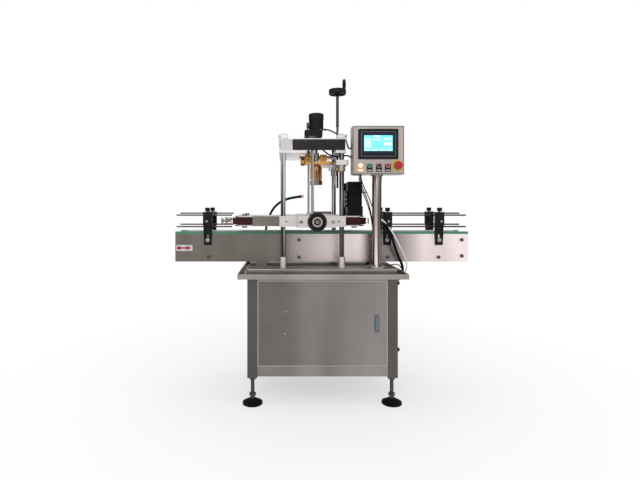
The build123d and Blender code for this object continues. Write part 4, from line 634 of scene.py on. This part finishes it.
class CapperView(bpy.types.PropertyGroup):
    """Where the machine is seen from."""

    across: scalar("Across", "Camera's place along the conveyor", -0.207, unit="LENGTH")
    distance: scalar("Distance", "Camera's distance in front of the conveyor's middle", 2.49, unit="LENGTH")
    height: scalar("Height", "Camera's height above the floor", 0.997, unit="LENGTH")
    lens: scalar("Lens", "Focal length in millimetres", 25.36, min=10.0)
    shift_across: scalar("Shift across", "How far the frame moves right, in frame widths", 0.0578)
    shift_up: scalar("Shift up", "How far the frame moves up, in frame widths", -0.0547)


class CapperLight(bpy.types.PropertyGroup):
    """Soft studio light."""

    room: scalar("Room", "Strength of the plain light from all round", 0.62, min=0.0)
    key: scalar("Key", "Power of the lamp in front", 42.0, min=0.0)
    fill: scalar("Fill", "Power of each lamp at the sides", 18.0, min=0.0)
    top: scalar("Top", "Power of the lamp above", 26.0, min=0.0)


# Operators, one for each group of pieces
class CAPPER_OT_finishes(bpy.types.Operator):
    """Make the machine's finishes"""

    bl_idname = "capper.finishes"
    bl_label = "Finishes"

    def execute(self, context):
        make_finishes(context.scene.capper_colours)
        return {"FINISHED"}


class CAPPER_OT_cabinet(bpy.types.Operator):
    """Dress the cabinet, its door, feet and drip tray"""

    bl_idname = "capper.cabinet"
    bl_label = "Cabinet"

    def execute(self, context):
        lo, hi = low("cabinet_frame"), high("cabinet_frame")
        post = 51.0
        posts = either(*(
            within(x=x, y=y)
            for x in ((lo[0] - 1, lo[0] + post), (hi[0] - post, hi[0] + 1))
            for y in ((lo[1] - 1, lo[1] + post), (hi[1] - post, hi[1] + 1))
        ))
        dress("cabinet_frame", "level steel, painted light", ("post steel, painted shade", posts))
        dress("cabinet_panels", "upright steel, painted shade", ("black plastic", within(x=(hi[0] + 2, 600))))
        dress("table_tray", "tray steel, painted light", ("deck steel", within(z=(674.8, 676))))
        dress(
            "door", "upright steel, painted shade",
            ("zinc", within(y=(-300, -245.3))),
            ("latch", within(x=(245, 276), y=(-300, -245.1), z=(355, 457))),
        )
        dress("door_latch", "latch")
        dress("levelling_feet", "rubber", ("dark steel", within(z=(24.5, 200))))
        self.feet()
        self.latch()
        self.door_edge_painted_highlight()
        self.glands(hi[0])
        return {"FINISHED"}

    def door_edge_painted_highlight(self):
        """Folded edge round the door's front in bright aluminium: a painted highlight along the fold."""
        edge = (low("door")[0], high("door")[0], 193.5, 620)
        shape = framed(inset(*edge, 0, 2), inset(*edge, 3, 1), -245.4, -244.9)
        piece("door_edge_painted_highlight", [shape], "silver", "door")

    def glands(self, side):
        """Two plugged cable glands on the right-hand side: a hexagon and a domed nut, turned about X."""
        dome = [(0, 0), (10, 0), (10, 14), (8.5, 19), (4, 21), (0, 21)]
        shapes = []
        for z in (600, 262):
            centre = (side, -196, z)
            shapes += [hex_head(centre, "x", 24, 8), turned(dome, centre, "x", 24)]
        piece("side_glands", shapes, "black plastic", "root")

    def feet(self):
        """Threads on the four studs."""
        lo, hi = low("levelling_feet"), high("levelling_feet")
        threads = [thread(x, y, 24.5, 134, 9.1, 2.0, 0.9)
                   for x in (lo[0] + 50, hi[0] - 50) for y in (lo[1] + 50, hi[1] - 50)]
        piece("foot_threads", threads, "dark steel", "root")

    def latch(self):
        """Two small screws on the latch plate."""
        piece("latch_screws", sockets([(260.5, -247, z) for z in (365, 447)], "y", 6, -1), "zinc", "door")


class CAPPER_OT_conveyor(bpy.types.Operator):
    """Dress the slat chain conveyor and put its direction mark on"""

    bl_idname = "capper.conveyor"
    bl_label = "Conveyor"

    def execute(self, context):
        dress("side_plates", "plate steel, painted reflections")
        dress(
            "cross_members", "dark steel",
            ("plate steel, painted reflections", either(within(y=(-77.05, -74.9)), within(y=(74.9, 77.05)))),
            ("black plastic", within(y=(-46, 46), z=(695, 760))),
            ("level steel, painted light", within(y=(-74.9, 74.9), z=(675, 694.1))),
        )
        dress("slat_chain", "slat")
        for node in ("drive_sprocket", "tail_sprocket"):
            shaft = ((middle(node)[0], SHAFT_Z),)
            ends = either(*(about(shaft, 13, "y", y=y) for y in ((-200, -18.5), (18.5, 200))))
            dress(node, "black plastic", ("bright steel", ends), ("plate steel, painted reflections", within(y=(-100, -72))))
        dress("wear_strips", "green")
        dress("conveyor_motor", "black coat", ("dark steel", within(y=(70, 135.2))))
        self.mark()
        self.motor()
        return {"FINISHED"}

    def mark(self):
        """White label with a plain red arrow that shows the chain's direction."""
        piece("direction_label", [plate(-779, -692, 751, 783, -75.4, -75, 4)], "white", "root")
        arrow = [(-774, 758), (-754, 758), (-754, 763), (-724, 763), (-724, 755), (-698, 767), (-724, 779),
                 (-724, 771), (-754, 771), (-754, 776), (-774, 776)]
        piece("direction_arrow", [slab(arrow, -75.8, -75.4)], "decal red", "root", smooth=False)

    def motor(self):
        """Screws in the end cap of the conveyor's motor, evenly round its shaft."""
        x, y, ring = middle("drive_sprocket")[0], high("conveyor_motor")[1] - 3.8, 32
        places = [(x + ring * math.cos(a), y, SHAFT_Z + ring * math.sin(a))
                  for a in np.radians((45, 135, 225, 315))]
        piece("conveyor_motor_screws", sockets(places, "y", 7), "zinc", "root")


class CAPPER_OT_rails(bpy.types.Operator):
    """Dress the guide rails and their brackets"""

    bl_idname = "capper.rails"
    bl_label = "Guide rails"

    def execute(self, context):
        bolts = [(x, 810) for x in self.bracket_places()]
        faces = either(*(about(bolts, 12, "y", y=y) for y in ((-100, -83.05), (83.05, 100))))
        dress("guide_brackets", "black plastic", ("zinc", faces))
        for side, rail_y, beyond in (("near", -45, (-200, -53)), ("far", 45, (53, 200))):
            for end in ("left", "right"):
                node = f"guide_rail_{side}_{end}"
                lo, hi = low(node), high(node)
                clamps = either(*(
                    within(x=(x - 8.1, x + 8.1), y=(rail_y - 8.1, rail_y + 8.1), z=(lo[2] - 1, hi[2] + 1))
                    for x in self.bracket_places() if lo[0] < x < hi[0]
                ))
                dress(node, "rail steel", ("black plastic", clamps), ("zinc", within(y=beyond)))
        self.ribs()
        return {"FINISHED"}

    def bracket_places(self):
        """Middles of the brackets along the conveyor, in millimetres."""
        half = high("side_plates")[0]
        return (175 - half, 350.0, half - 157)

    def ribs(self):
        """Two moulded ribs down each bracket's blade."""
        ribs = [((x - 1.2, y - 0.8, 790), (x + 1.2, y + 0.8, 884))
                for y in (-83.8, 83.8)
                for place in self.bracket_places()
                for x in (place - 14.5, place + 14.5)]
        piece("bracket_ribs", boxes(ribs, 0.7, 2), "black plastic", "root")


class CAPPER_OT_frame(bpy.types.Operator):
    """Dress the columns, plates and fascia"""

    bl_idname = "capper.frame"
    bl_label = "Capping frame"

    def execute(self, context):
        dress("columns", "column steel")
        dress("column_clamps", "silver")
        dress(
            "top_plates", "silver",
            # Painted highlight: the plates' undersides in near-white aluminium stand in for the floor's
            # bright reflection.
            ("painted highlight silver", within(z=(1261.9, 1262.05))),
            ("grey steel", about(((LIFT_X, 0),), 19, z=(1336.05, 1352))),
        )
        dress("fascia", "black gloss", ("white", within(x=(-400, -159))))
        self.screws()
        return {"FINISHED"}

    def screws(self):
        """Clamp screws in the split blocks and fixing screws through the plates."""
        block = 24.5
        screws = []
        for x, out in zip(COLUMN_X, (-1, 1)):
            for side in (-1, 1):
                y = side * COLUMN_Y
                screws += sockets([(x - out * 12, y - 14, 1356), (x - out * 12, y + 14, 1356)], "z", 6)
                screws += sockets([(x + out * (block - 8), y + side * block, 1346)], "y", 7, side)
        screws += sockets([(x, y, 1336) for x in (-150, 38) for y in (-150, 150)], "z", 9)
        piece("frame_screws", screws, "dark steel", "root")


class CAPPER_OT_head(bpy.types.Operator):
    """Dress the motor, lift, carriage and chuck"""

    bl_idname = "capper.head"
    bl_label = "Capping head"

    def execute(self, context):
        dress(
            "head_motor", "black coat",
            ("dark steel", within(x=(-92, -68), y=(-17, 17), z=(1417, 1451))),
        )
        dress("drive_shaft", "bright steel")
        dress("lift_grip", "black plastic")
        bushes = [(LIFT_X, -COLUMN_Y), (LIFT_X, COLUMN_Y)]
        dress(
            "carriage_bar", "silver",
            ("brass", about(((LIFT_X, 0),), 14.5, z=(1180, 1200.9))),
            ("zinc", either(about(bushes, 19, z=(1160, 1200.9)), about(bushes, 19, z=(1226.1, 1260)))),
        )
        dress("head_yoke", "gold", ("silver", within(x=(14.2, 61.7), z=(1201, 1217.9))))
        dress(
            "spindle", "bright steel",
            ("silver", within(z=(1245.1, 1300))),
            ("grey steel", within(z=(1100, 1130))),
        )
        dress("chuck_body", "grey steel")
        for number in (1, 2, 3):
            self.finger(number)
        self.motor()
        self.yoke_screws()
        self.lift()
        self.wheel()
        return {"FINISHED"}

    def motor(self):
        """Fan grille on the motor's cap and screws in the gearbox."""
        grille("head_motor_grille", HEAD_X, 0, high("head_motor")[2], (9, 16, 23, 30), 1.2, 48, "root")
        corners = [(x, y, 1406) for x in (-76, -4) for y in (-36, 36)]
        piece("head_motor_screws", sockets(corners, "z", 7), "zinc", "root")

    def yoke_screws(self):
        """Socket screws on the yoke's plate and uprights."""
        screws = sockets([(x, y, 1232) for x in (-70, 44) for y in (-38, 38)] + [(HEAD_X, 38, 1232)], "z", 8)
        screws += sockets([(x, -22, z) for x in (-66, 14) for z in (1244, 1260)], "y", 6, -1)
        piece("yoke_screws", screws, "dark steel", "carriage")

    def lift(self):
        """Lift screw with its thread, and its sleeve and collars as one profile turned about its axis."""
        x, base = middle("lift_screw")[0], low("lift_screw")[2]
        profile = [(0, 1317.5), (11, 1317.5), (11, 1327.7), (6, 1327.7), (6, 1350.3), (11, 1350.3),
                   (11, 1360), (6, 1360), (6, 1428), (7, 1428), (8, 1429), (8, 1599), (6, 1599),
                   (6, 1629), (0, 1629)]
        shapes = [thread(x, 0, base, 1318, 5.6, 3.0, 0.8), turned(profile, (x, 0, 0))]
        made = piece("lift_screw_thread", shapes, "screw steel", "lift_wheel")
        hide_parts("lift_screw")

    def wheel(self):
        """Lift wheel: hub, web and deep rim turned as one closed profile, and the grip's pin."""
        x = middle("lift_screw")[0]
        profile = [(6.02, 1599), (17, 1599), (19, 1601), (19, 1612), (38, 1612), (39, 1606), (45.5, 1606),
                   (47.5, 1608), (47.5, 1632), (45.5, 1634), (40, 1634), (38.5, 1632), (38, 1620), (21, 1620),
                   (19, 1622), (19, 1632), (17, 1634), (6.02, 1634), (6.02, 1599)]
        pin = [(0, 1610), (4, 1610), (4, 1685.5), (3.5, 1686), (0, 1686)]
        shapes = [turned(profile, (x, 0, 0), "z", 64), turned(pin, (x + 37, 0, 0), "z", 20)]
        made = piece("lift_wheel_deep", shapes, "black plastic", "lift_wheel")
        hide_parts("lift_wheel")

    def finger(self, number):
        """Slotted finger: radius(z) swept over the angle asin(s w(z) / R), middle cells open; its pivot."""
        turn = math.radians(-90 + 120 * (number - 1))
        z = np.array([1131, 1134, 1140, 1149, 1160, 1172, 1184, 1196, 1207, 1211, 1215.0])
        radius = np.interp(z, [1131, 1149, 1207, 1215], [30, 33, 33, 30])
        width = np.interp(z, [1131, 1215], [13, 16])
        s = np.array([-1, -0.8, -0.6, -0.42, -0.24, 0, 0.24, 0.42, 0.6, 0.8, 1])
        a = turn + np.arcsin(s[None] * width[:, None] / 33)
        kept = np.ones((len(z) - 1, len(s) - 1), bool)
        kept[2:6, 4:6] = False
        flat = np.stack([np.cos(a), np.sin(a)], -1)
        upright = np.broadcast_to(z[:, None, None], (*a.shape, 1))
        outer = np.concatenate([flat * radius[:, None, None], upright], -1)
        inner = np.concatenate([flat * 26, upright], -1)
        tab = rounded_box((16, -4, 1190), (28, 4, 1202), 0.6, 2)
        pin = turned([(0, -10), (2.5, -10), (2.5, 10), (0, 10)], (20, 0, 1196), "y", 16)
        c, d = math.cos(turn), math.sin(turn)
        swing = np.array([[c, d, 0], [-d, c, 0], [0, 0, 1]])
        shapes = [shell_of(outer, inner, kept)] + [(np.reshape(p, (-1, 3)) @ swing, f) for p, f in (tab, pin)]
        shapes = [(np.reshape(p, (-1, 3)) + (HEAD_X, 0, 0), f) for p, f in shapes]
        made = piece(f"finger_{number}_slotted", shapes, "copper", f"finger_{number}")
        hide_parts(f"finger_{number}")


class CAPPER_OT_belts(bpy.types.Operator):
    """Dress the belt frame, the two belt units and their motors"""

    bl_idname = "capper.belts"
    bl_label = "Belt units"

    def execute(self, context):
        hangers = ((-56, -180), (-56, 180))
        wheel = ((-36, 912),)
        dress(
            "crossbars", "silver",
            ("bright steel", about(hangers, 8.2, z=(941.1, 1340))),
            ("zinc", about(hangers, 17, z=(941.1, 952))),
            ("cover steel", within(x=(-24.1, 78.1), y=(160, 200), z=(941.1, 960))),
        )
        dress("near_slide_rods", "bright steel", ("silver", within(y=(-233.1, -222.9))))
        dress("far_slide_rods", "bright steel")
        dress(
            "width_wheel", "black plastic",
            ("screw steel", within(y=(-236.4, -60))),
            ("zinc", about(wheel, 25.6, "y", y=(-253.2, -247.1))),
            ("grey steel", about(wheel, 12, "y", y=(-262, -254.05))),
        )
        dress("width_grip", "black plastic")
        for side, sign, face in (("near", -1, (-151.6, -149.9)), ("far", 1, (149.9, 151.6))):
            cover = within(x=(-366, 119), y=face, z=(895, 931))
            dress(f"{side}_unit_plates", "silver", ("cover steel", cover))
            dress(f"{side}_belt", "belt")
            dress(f"{side}_drive_pulley", "grey steel")
            dress(f"{side}_idler_pulley", "grey steel")
            dress(f"{side}_belt_motor", "motor black")
            self.motor(side, sign * BELT_Y)
            screws = sockets([(x, sign * 151.5, BELT_Z) for x in (-352, -245, 92)], "y", 9, sign)
            piece(f"{side}_cover_screws", screws, "zinc", f"{side}_unit")
            self.tensioner(side, sign * BELT_Y)
        self.bar_screws()
        self.scale_marks()
        return {"FINISHED"}

    def motor(self, side, y):
        """Fan grille and gearhead screws of a belt motor."""
        top = high(f"{side}_belt_motor")[2]
        grille(f"{side}_motor_grille", BELT_MOTOR_X, y, top, (8, 15, 22, 29), 1.3, 40, f"{side}_unit")
        if side == "near":
            self.terminals(y)
        screws = sockets([(BELT_MOTOR_X - 44, y + dy, 940) for dy in (30, -30)], "z", 6)
        piece(f"{side}_motor_screws", screws, "zinc", f"{side}_unit")

    def terminals(self, y):
        """Terminal box and three plugs on the near motor's left side."""
        box = rounded_box((118, y - 25, 985), (133, y + 18, 1072), 2)
        piece("near_motor_terminals", [box], "black gloss", "near_unit")
        plugs = boxes([((121, y - 28, z), (130, y - 24, z + 11)) for z in (998, 1022, 1046)], 1)
        piece("near_motor_plugs", plugs, "latch", "near_unit")

    def tensioner(self, side, y):
        """Belt tensioner past the pulleys: straps with end plates, and its screw and nut turned about X."""
        left, right = low(f"{side}_belt")[0], high(f"{side}_belt")[0]
        straps = [
            (left - 58, left - 4, 7, 923, 926), (left - 58, left - 4, 7, 899, 902),
            (left - 61, left - 57, 12, 896, 929), (left - 34, left - 30, 9, 902, 923),
            (right + 3, right + 15, 7, 921, 924), (right + 3, right + 15, 7, 901, 904),
            (right + 12, right + 15, 10, 898, 927),
        ]
        shapes = boxes([((x0, y - half, z0), (x1, y + half, z1)) for x0, x1, half, z0, z1 in straps], 1, 2)
        piece(f"{side}_tensioner", shapes, "grey steel", f"{side}_unit")
        shapes = [
            turned([(0, 0), (4, 0), (4, 46), (0, 46)], (left - 56, y, BELT_Z), "x", 16),
            hex_head((left - 54, y, BELT_Z), "x", 15, 7),
        ]
        piece(f"{side}_tension_screw", shapes, "grey steel", f"{side}_unit")

    def bar_screws(self):
        """Dark screws in the front bar."""
        screws = sockets([(x, -198, BELT_Z) for x in (-190, 78)], "y", 8, -1)
        piece("bar_screws", screws, "dark steel", "belt_frame")

    def scale_marks(self):
        """Plain tick marks along the rear scale plate, every fifth one longer."""
        first, step, top, half = -22, 4.8, 956, 0.35
        ticks = []
        for i in range(21):
            x = first + i * step
            ticks.append(plate(x - half, x + half, top - (5 if i % 5 else 8), top, 165.7, 166.02, 0.1))
        piece("scale_ticks", ticks, "black plastic", "belt_frame", smooth=False)


class CAPPER_OT_controls(bpy.types.Operator):
    """Dress the operator box, its panel and its buttons"""

    bl_idname = "capper.controls"
    bl_label = "Controls"

    BUTTON_Z = 1194
    LAMP_X = 179
    BUTTONS_X = (225, 272, 316)

    def execute(self, context):
        foot, nuts = within(z=(674, 683.5)), within(z=(683.5, 692))
        dress("control_pole", "pole steel", ("box steel", foot), ("zinc", nuts))
        dress("control_box", "box steel")
        self.box_edge_painted_shade()
        glass = within(x=(191.1, 344.9), y=(-245.6, -243.9), z=(1262.1, 1347.9))
        dress("touch_panel", "bezel", ("navy", glass))
        buttons = [(x, self.BUTTON_Z) for x in (self.LAMP_X, *self.BUTTONS_X)]
        dress(
            "panel_fittings", "black plastic",
            ("zinc", about(buttons, 13, "y", y=(-300, -241.6))),
            ("lamp", about(buttons[:1], 10.5, "y", y=(-300, -242.2))),
            # Painted glow: the lamp's red light painted over the fitting's face round and below the lamp,
            # over its legend plate.
            ("painted lamp glow", within(x=(163, 195), y=(-241.7, -239.9), z=(1160, 1205))),
            ("yellow", about(((363, self.BUTTON_Z),), 29.5, "y", y=(-242.2, -239.9))),
        )
        for node, colour in (("button_green", "green"), ("button_maroon", "maroon"), ("button_red", "red"),
                             ("stop_button", "red")):
            dress(node, f"{colour} button")
        self.screen()
        self.legends()
        return {"FINISHED"}

    def box_edge_painted_shade(self):
        """Folded edge round the box's front, a little darker than its face: painted shade along the fold."""
        lo, hi = low("control_box"), high("control_box")
        outer = (lo[0], hi[0], lo[2], hi[2], 2)
        inner = (lo[0] + 5, hi[0] - 5, lo[2] + 6, hi[2] - 6, 2)
        piece("box_edge_painted_shade", [framed(outer, inner, -240.4, -239.9)], "grey steel", "root")

    def screen(self):
        """The panel's inner face, thin line and lit display with plain tiles."""
        panel = (168.0, 368.0, 1225.5, 1376.5)
        line = framed(inset(*panel, 14, 3), inset(*panel, 15.6, 2), -247.35, -246.9)
        piece("panel_line", [line], "line grey", "root")
        face = framed((184, 352, 1255, 1355, 2), (190.8, 345.2, 1261.8, 1348.2, 0.5), -247.2, -246.9)
        piece("panel_inner_face", [face], "navy", "root")
        glass, tile_face = -245.9, -246.1
        field = plate(197, 339, 1266, 1344, glass, -245.5, 0.5)
        piece("display_field", [field], "screen", "root", smooth=False)
        empty = [(246, 276, 1336, 1343), *((199, 232, z, z + 8) for z in (1320, 1308, 1296, 1284))]
        barred = [(240, 278, 1318, 1327), (296, 334, 1322, 1331),
                  *((x0, x1, 1268, 1276) for x0, x1 in ((199, 222), (236, 262), (276, 300), (312, 336)))]
        tiles = [*empty, *barred[:2], (296, 334, 1294, 1310), *barred[2:]]
        light = [plate(*tile, tile_face, glass, 0.6) for tile in tiles]
        dark = [plate(x0 + 4, x1 - 4, (z0 + z1) / 2 - 0.9, (z0 + z1) / 2 + 0.9, -246.2, tile_face, 0.3)
                for x0, x1, z0, z1 in barred]
        dark.append(plate(240, 284, 1290, 1292, tile_face, glass, 0.6))
        piece("display_tiles", light, "screen white", "root", smooth=False)
        piece("display_bars", dark, "screen dark", "root", smooth=False)

    def legends(self):
        """Bare silver strips on the legend plates, and under the lamp one in the lamp's glowing finish: a
        painted glow on a plate that is no lamp.
        """
        for name, finish, places in (
            ("legend_strips", "zinc", self.BUTTONS_X),
            # Painted glow: the strip under the lamp takes the lamp's emitting finish.
            ("lamp_strip_painted_glow", "lamp", [self.LAMP_X]),
        ):
            strips = [plate(x - 11, x + 11, 1166, 1174, -241.8, -241.5, 1) for x in places]
            piece(name, strips, finish, "root")


class CAPPER_OT_wiring(bpy.types.Operator):
    """Dress the sensor arm, the air tubes and the leads"""

    bl_idname = "capper.wiring"
    bl_label = "Tubes and leads"

    def execute(self, context):
        self.air()
        self.gooseneck()
        self.leads()
        return {"FINISHED"}

    def air(self):
        """Two blue air tubes from black elbows on the frame to the box's left side."""
        routes = (
            ((23, -6, 1412), (42, -14, 1411), (66, -32, 1396), (88, -54, 1378), (108, -88, 1362),
             (123, -126, 1340), (125, -158, 1312), (127, -174, 1293), (133, -178, 1286), (141.2, -178, 1286)),
            ((-12, -76, 1322), (-6, -77, 1306), (14, -79, 1284), (42, -84, 1262), (72, -104, 1254),
             (98, -140, 1252), (118, -172, 1251), (130, -189, 1248), (136, -192, 1241), (141.2, -192, 1240)),
        )
        tubes = [bead(route_curve(route, 160), 4.2) for route in routes]
        made = piece("blue_tubes", tubes, "blue tube", "root")
        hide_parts("air_tubes")
        starts = [np.array(route[0]) for route in routes]
        elbows = boxes([(start - 5.5, start + 5.5) for start in starts], 1.5)
        piece("tube_elbows", elbows, "black plastic", "root")

    def gooseneck(self):
        """Stay-put ringed hose of the sensor, its turned foot, and the collar and tip at its end."""
        route = (
            (-322, 176, 686), (-322, 175, 730), (-319, 174, 785), (-311, 173, 838), (-301, 172, 888),
            (-286, 171, 938), (-262, 164, 980), (-228, 152, 1012), (-190, 139, 1030), (-150, 128, 1040),
            (-112, 121, 1045),
        )
        line = route_curve(route, 900)
        foot = [(0, 675), (22, 675), (22, 684), (19, 687), (8, 687), (8, 694), (0, 694)]
        shapes = [ringed(line, 5.8, 4, 1 / 300), turned(foot, (-322, 176, 0), "z", 40)]
        made = piece("sensor_hose", shapes, "lead", "root")
        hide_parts("sensor_arm")
        end = line[-1]
        way = (end - line[-2]) / np.linalg.norm(end - line[-2])
        for name, steps, radii, finish in (
            ("sensor_collar", (0, 1, 10, 11), (7.5, 9, 9, 8), "black plastic"),
            ("sensor_tip", (10.8, 12, 22, 24), (7, 8, 8, 6), "pink"),
        ):
            piece(name, [bead(end + np.outer(steps, way), radii, 20)], finish, "root")

    def leads(self):
        """Leads from the box and the pole: thin ones, a thick ringed sleeve, a thin white tube and ties."""
        thin = (
            ((184, -170, 1150), (185, -170, 1122), (196, -164, 1084), (218, -152, 1036), (240, -138, 984),
             (256, -128, 926), (264, -118, 870), (268, -109, 818), (270, -104, 762), (270, -104, 675)),
            ((196, -158, 1150), (198, -158, 1124), (214, -150, 1088), (238, -138, 1042), (262, -124, 990),
             (278, -112, 932), (286, -104, 874), (287, -100, 820), (283, -98, 762), (283, -98, 675)),
            ((192, -164, 1150), (192, -164, 1120), (208, -158, 1076), (234, -145, 1020), (252, -134, 960),
             (262, -124, 900), (271, -112, 846), (276, -108, 790), (276, -107, 740), (276, -107, 675)),
            ((300, -150, 898), (322, -148, 892), (350, -134, 856), (378, -120, 790), (402, -106, 716),
             (428, -96, 676), (434, -90, 640), (414, -86, 612), (388, -84, 602), (377.2, -84, 601)),
            ((326, -130, 678.5), (350, -124, 681), (378, -117, 686), (404, -100, 682), (424, -88, 664),
             (430, -82, 640), (416, -80, 618), (392, -92, 610), (377.2, -93, 609)),
        )
        black = [bead(route_curve(route, 160), 2.7) for route in thin]
        sleeve = route_curve((
            (296, -163, 902), (318, -163, 901), (344, -153, 882), (359, -145, 840), (377, -136, 776),
            (400, -124, 720), (419, -112, 690), (427, -106, 656), (420, -103, 618), (398, -102, 597),
            (377.2, -102, 597),
        ), 700)
        black.append(ringed(sleeve, 7.2, 5))
        made = piece("black_leads", black, "lead", "root")
        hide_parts("cable_bundle")
        white = route_curve((
            (296, -163, 926), (310, -163, 916), (328, -160, 898), (343, -158, 880), (362, -154, 852),
            (382, -150, 818), (402, -144, 778), (424, -134, 738), (444, -118, 698), (450, -96, 656),
            (434, -76, 622), (402, -72, 604), (377.2, -72, 604),
        ))
        piece("white_tube", [bead(white, 3.6)], "white tube", "root")
        band = [(15, -2), (16, -2), (16, 2), (15, 2), (15, -2)]
        ties = [turned(band, place) for place in ((214, -150, 1062), (270, -112, 840))]
        piece("cable_ties", ties, "black plastic", "root")


def seen_rays(tree):
    """1 for rays from the camera, in mirrors and through glass, and 0 for the light that falls on things."""
    path = add_node(tree, "LightPath")
    seen = path.outputs["Is Camera Ray"]
    for name in ("Is Glossy Ray", "Is Transmission Ray"):
        seen = combined(tree, "MAXIMUM", seen, path.outputs[name])
    return seen


class CAPPER_OT_stage(bpy.types.Operator):
    """Set the floor, the light and the camera"""

    bl_idname = "capper.stage"
    bl_label = "Stage"

    def execute(self, context):
        scene = context.scene
        view = scene.capper_view
        light = scene.capper_light
        scene.view_settings.view_transform = "Standard"
        self.backdrop(scene, light.room)
        self.floor()
        for name, place, power, size in (
            ("Key lamp", (-0.9, -3.6, 3.0), light.key, 2.4),
            ("Fill lamp", (-3.4, -0.6, 1.9), light.fill, 2.0),
            ("Side lamp", (3.4, -1.2, 2.0), light.fill, 2.0),
            ("Top lamp", (0.2, 0.6, 4.2), light.top, 2.6),
        ):
            self.lamp(scene, name, place, power, size)
        self.card("Left card", -2.6)
        self.card("Right card", 2.6)
        camera = bpy.data.cameras.new("Camera")
        camera.lens = view.lens
        camera.sensor_width = 36.0
        camera.shift_x = view.shift_across
        camera.shift_y = view.shift_up
        eye = bpy.data.objects.new("Camera", camera)
        eye.location = (view.across, -view.distance, view.height)
        eye.rotation_euler = (math.radians(90), 0, 0)
        scene.collection.objects.link(eye)
        scene.camera = eye
        return {"FINISHED"}

    def backdrop(self, scene, strength):
        """White to the camera, to mirrors and through glass, and a soft grey light to everything else."""
        world = bpy.data.worlds.new("Backdrop")
        world.use_nodes = True
        tree = world.node_tree
        level = add_node(tree, "MapRange", ((seen_rays(tree), "Value"),), To_Min=strength, To_Max=1.0)
        background = tree.nodes["Background"]
        background.inputs["Color"].default_value = (1, 1, 1, 1)
        tree.links.new(level.outputs["Result"], background.inputs["Strength"])
        scene.world = world

    def sheet(self, name, corners, grey):
        """A four-cornered sheet of one grey on the stage, and its material's nodes."""
        mesh = bpy.data.meshes.new(name)
        mesh.from_pydata(corners, [], [(0, 1, 2, 3)])
        material = bpy.data.materials.new(name)
        material.use_nodes = True
        material.node_tree.nodes["Principled BSDF"].inputs["Base Color"].default_value = (grey, grey, grey, 1)
        mesh.materials.append(material)
        sheet = bpy.data.objects.new(name, mesh)
        bpy.context.scene.collection.objects.link(sheet)
        return sheet, material.node_tree

    def floor(self):
        """A plain white floor that keeps the machine's soft shadow and fades into the backdrop."""
        far = 12.0
        _, tree = self.sheet("Floor", [(-far, -far, 0), (far, -far, 0), (far, far, 0), (-far, far, 0)], 0.95)
        shader = tree.nodes["Principled BSDF"]
        shader.inputs["Roughness"].default_value = 0.9
        shader.inputs["Specular IOR Level"].default_value = 0.0
        white = add_node(tree, "Emission", Color=(1, 1, 1, 1), Strength=1.0)
        reach = add_node(tree, "VectorMath")
        reach.operation = "LENGTH"
        tree.links.new(add_node(tree, "TexCoord").outputs["Object"], reach.inputs[0])
        ends = {"From_Min": 0.6, "From_Max": 1.9, "To_Min": 0.55, "To_Max": 1.0}
        fade = add_node(tree, "MapRange", ((reach.outputs["Value"], "Value"),), **ends)
        amount = combined(tree, "MULTIPLY", seen_rays(tree), fade.outputs["Result"])
        mix = add_node(tree, "MixShader", (
            (amount, "Fac"), (shader.outputs["BSDF"], 1), (white.outputs["Emission"], 2),
        ))
        tree.links.new(mix.outputs["Shader"], tree.nodes["Material Output"].inputs["Surface"])

    def card(self, name, x):
        """A dark upright card beside the machine, seen only in its polished bars."""
        front, back, low_edge, top = -0.7, 2.8, 0.02, 2.6
        corners = [(x, front, low_edge), (x, back, low_edge), (x, back, top), (x, front, top)]
        card, _ = self.sheet(name, corners, 0.01)
        for ray in ("camera", "diffuse", "transmission", "shadow", "volume_scatter"):
            setattr(card, "visible_" + ray, False)

    def lamp(self, scene, name, place, power, size):
        """A soft square lamp turned towards the machine's middle."""
        data = bpy.data.lights.new(name, "AREA")
        data.energy = power
        data.size = size
        lamp = bpy.data.objects.new(name, data)
        lamp.location = place
        aim = Vector((-0.05, 0, 0.85)) - Vector(place)
        lamp.rotation_euler = aim.to_track_quat("-Z", "Y").to_euler()
        scene.collection.objects.link(lamp)


class CAPPER_PT_sidebar(bpy.types.Panel):
    """Lists the machine's groups of pieces"""

    bl_idname = "CAPPER_PT_sidebar"
    bl_label = "Bottle capping machine"
    bl_space_type = "VIEW_3D"
    bl_region_type = "UI"
    bl_category = "Capper"

    def draw(self, context):
        for group in ("capper_colours", "capper_view", "capper_light"):
            settings = getattr(context.scene, group)
            for name in settings.__annotations__:
                self.layout.prop(settings, name)
        for operator in OPERATORS:
            self.layout.operator(operator.bl_idname)


GROUPS = {"capper_colours": CapperColours, "capper_view": CapperView, "capper_light": CapperLight}
OPERATORS = (
    CAPPER_OT_finishes,
    CAPPER_OT_cabinet,
    CAPPER_OT_conveyor,
    CAPPER_OT_rails,
    CAPPER_OT_frame,
    CAPPER_OT_head,
    CAPPER_OT_belts,
    CAPPER_OT_controls,
    CAPPER_OT_wiring,
    CAPPER_OT_stage,
)


def register():
    """Make the settings, the operators and the panel known."""
    for cls in (*GROUPS.values(), *OPERATORS, CAPPER_PT_sidebar):
        bpy.utils.register_class(cls)
    for name, cls in GROUPS.items():
        setattr(bpy.types.Scene, name, bpy.props.PointerProperty(type=cls))


def unregister():
    """Take the settings, the operators and the panel away again."""
    for name in GROUPS:
        delattr(bpy.types.Scene, name)
    for cls in (CAPPER_PT_sidebar, *reversed(OPERATORS), *GROUPS.values()):
        bpy.utils.unregister_class(cls)


def main():
    """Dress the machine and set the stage."""
    register()
    for operator in OPERATORS:
        group, name = operator.bl_idname.split(".")
        getattr(getattr(bpy.ops, group), name)()


if __name__ == "__main__":
    main()
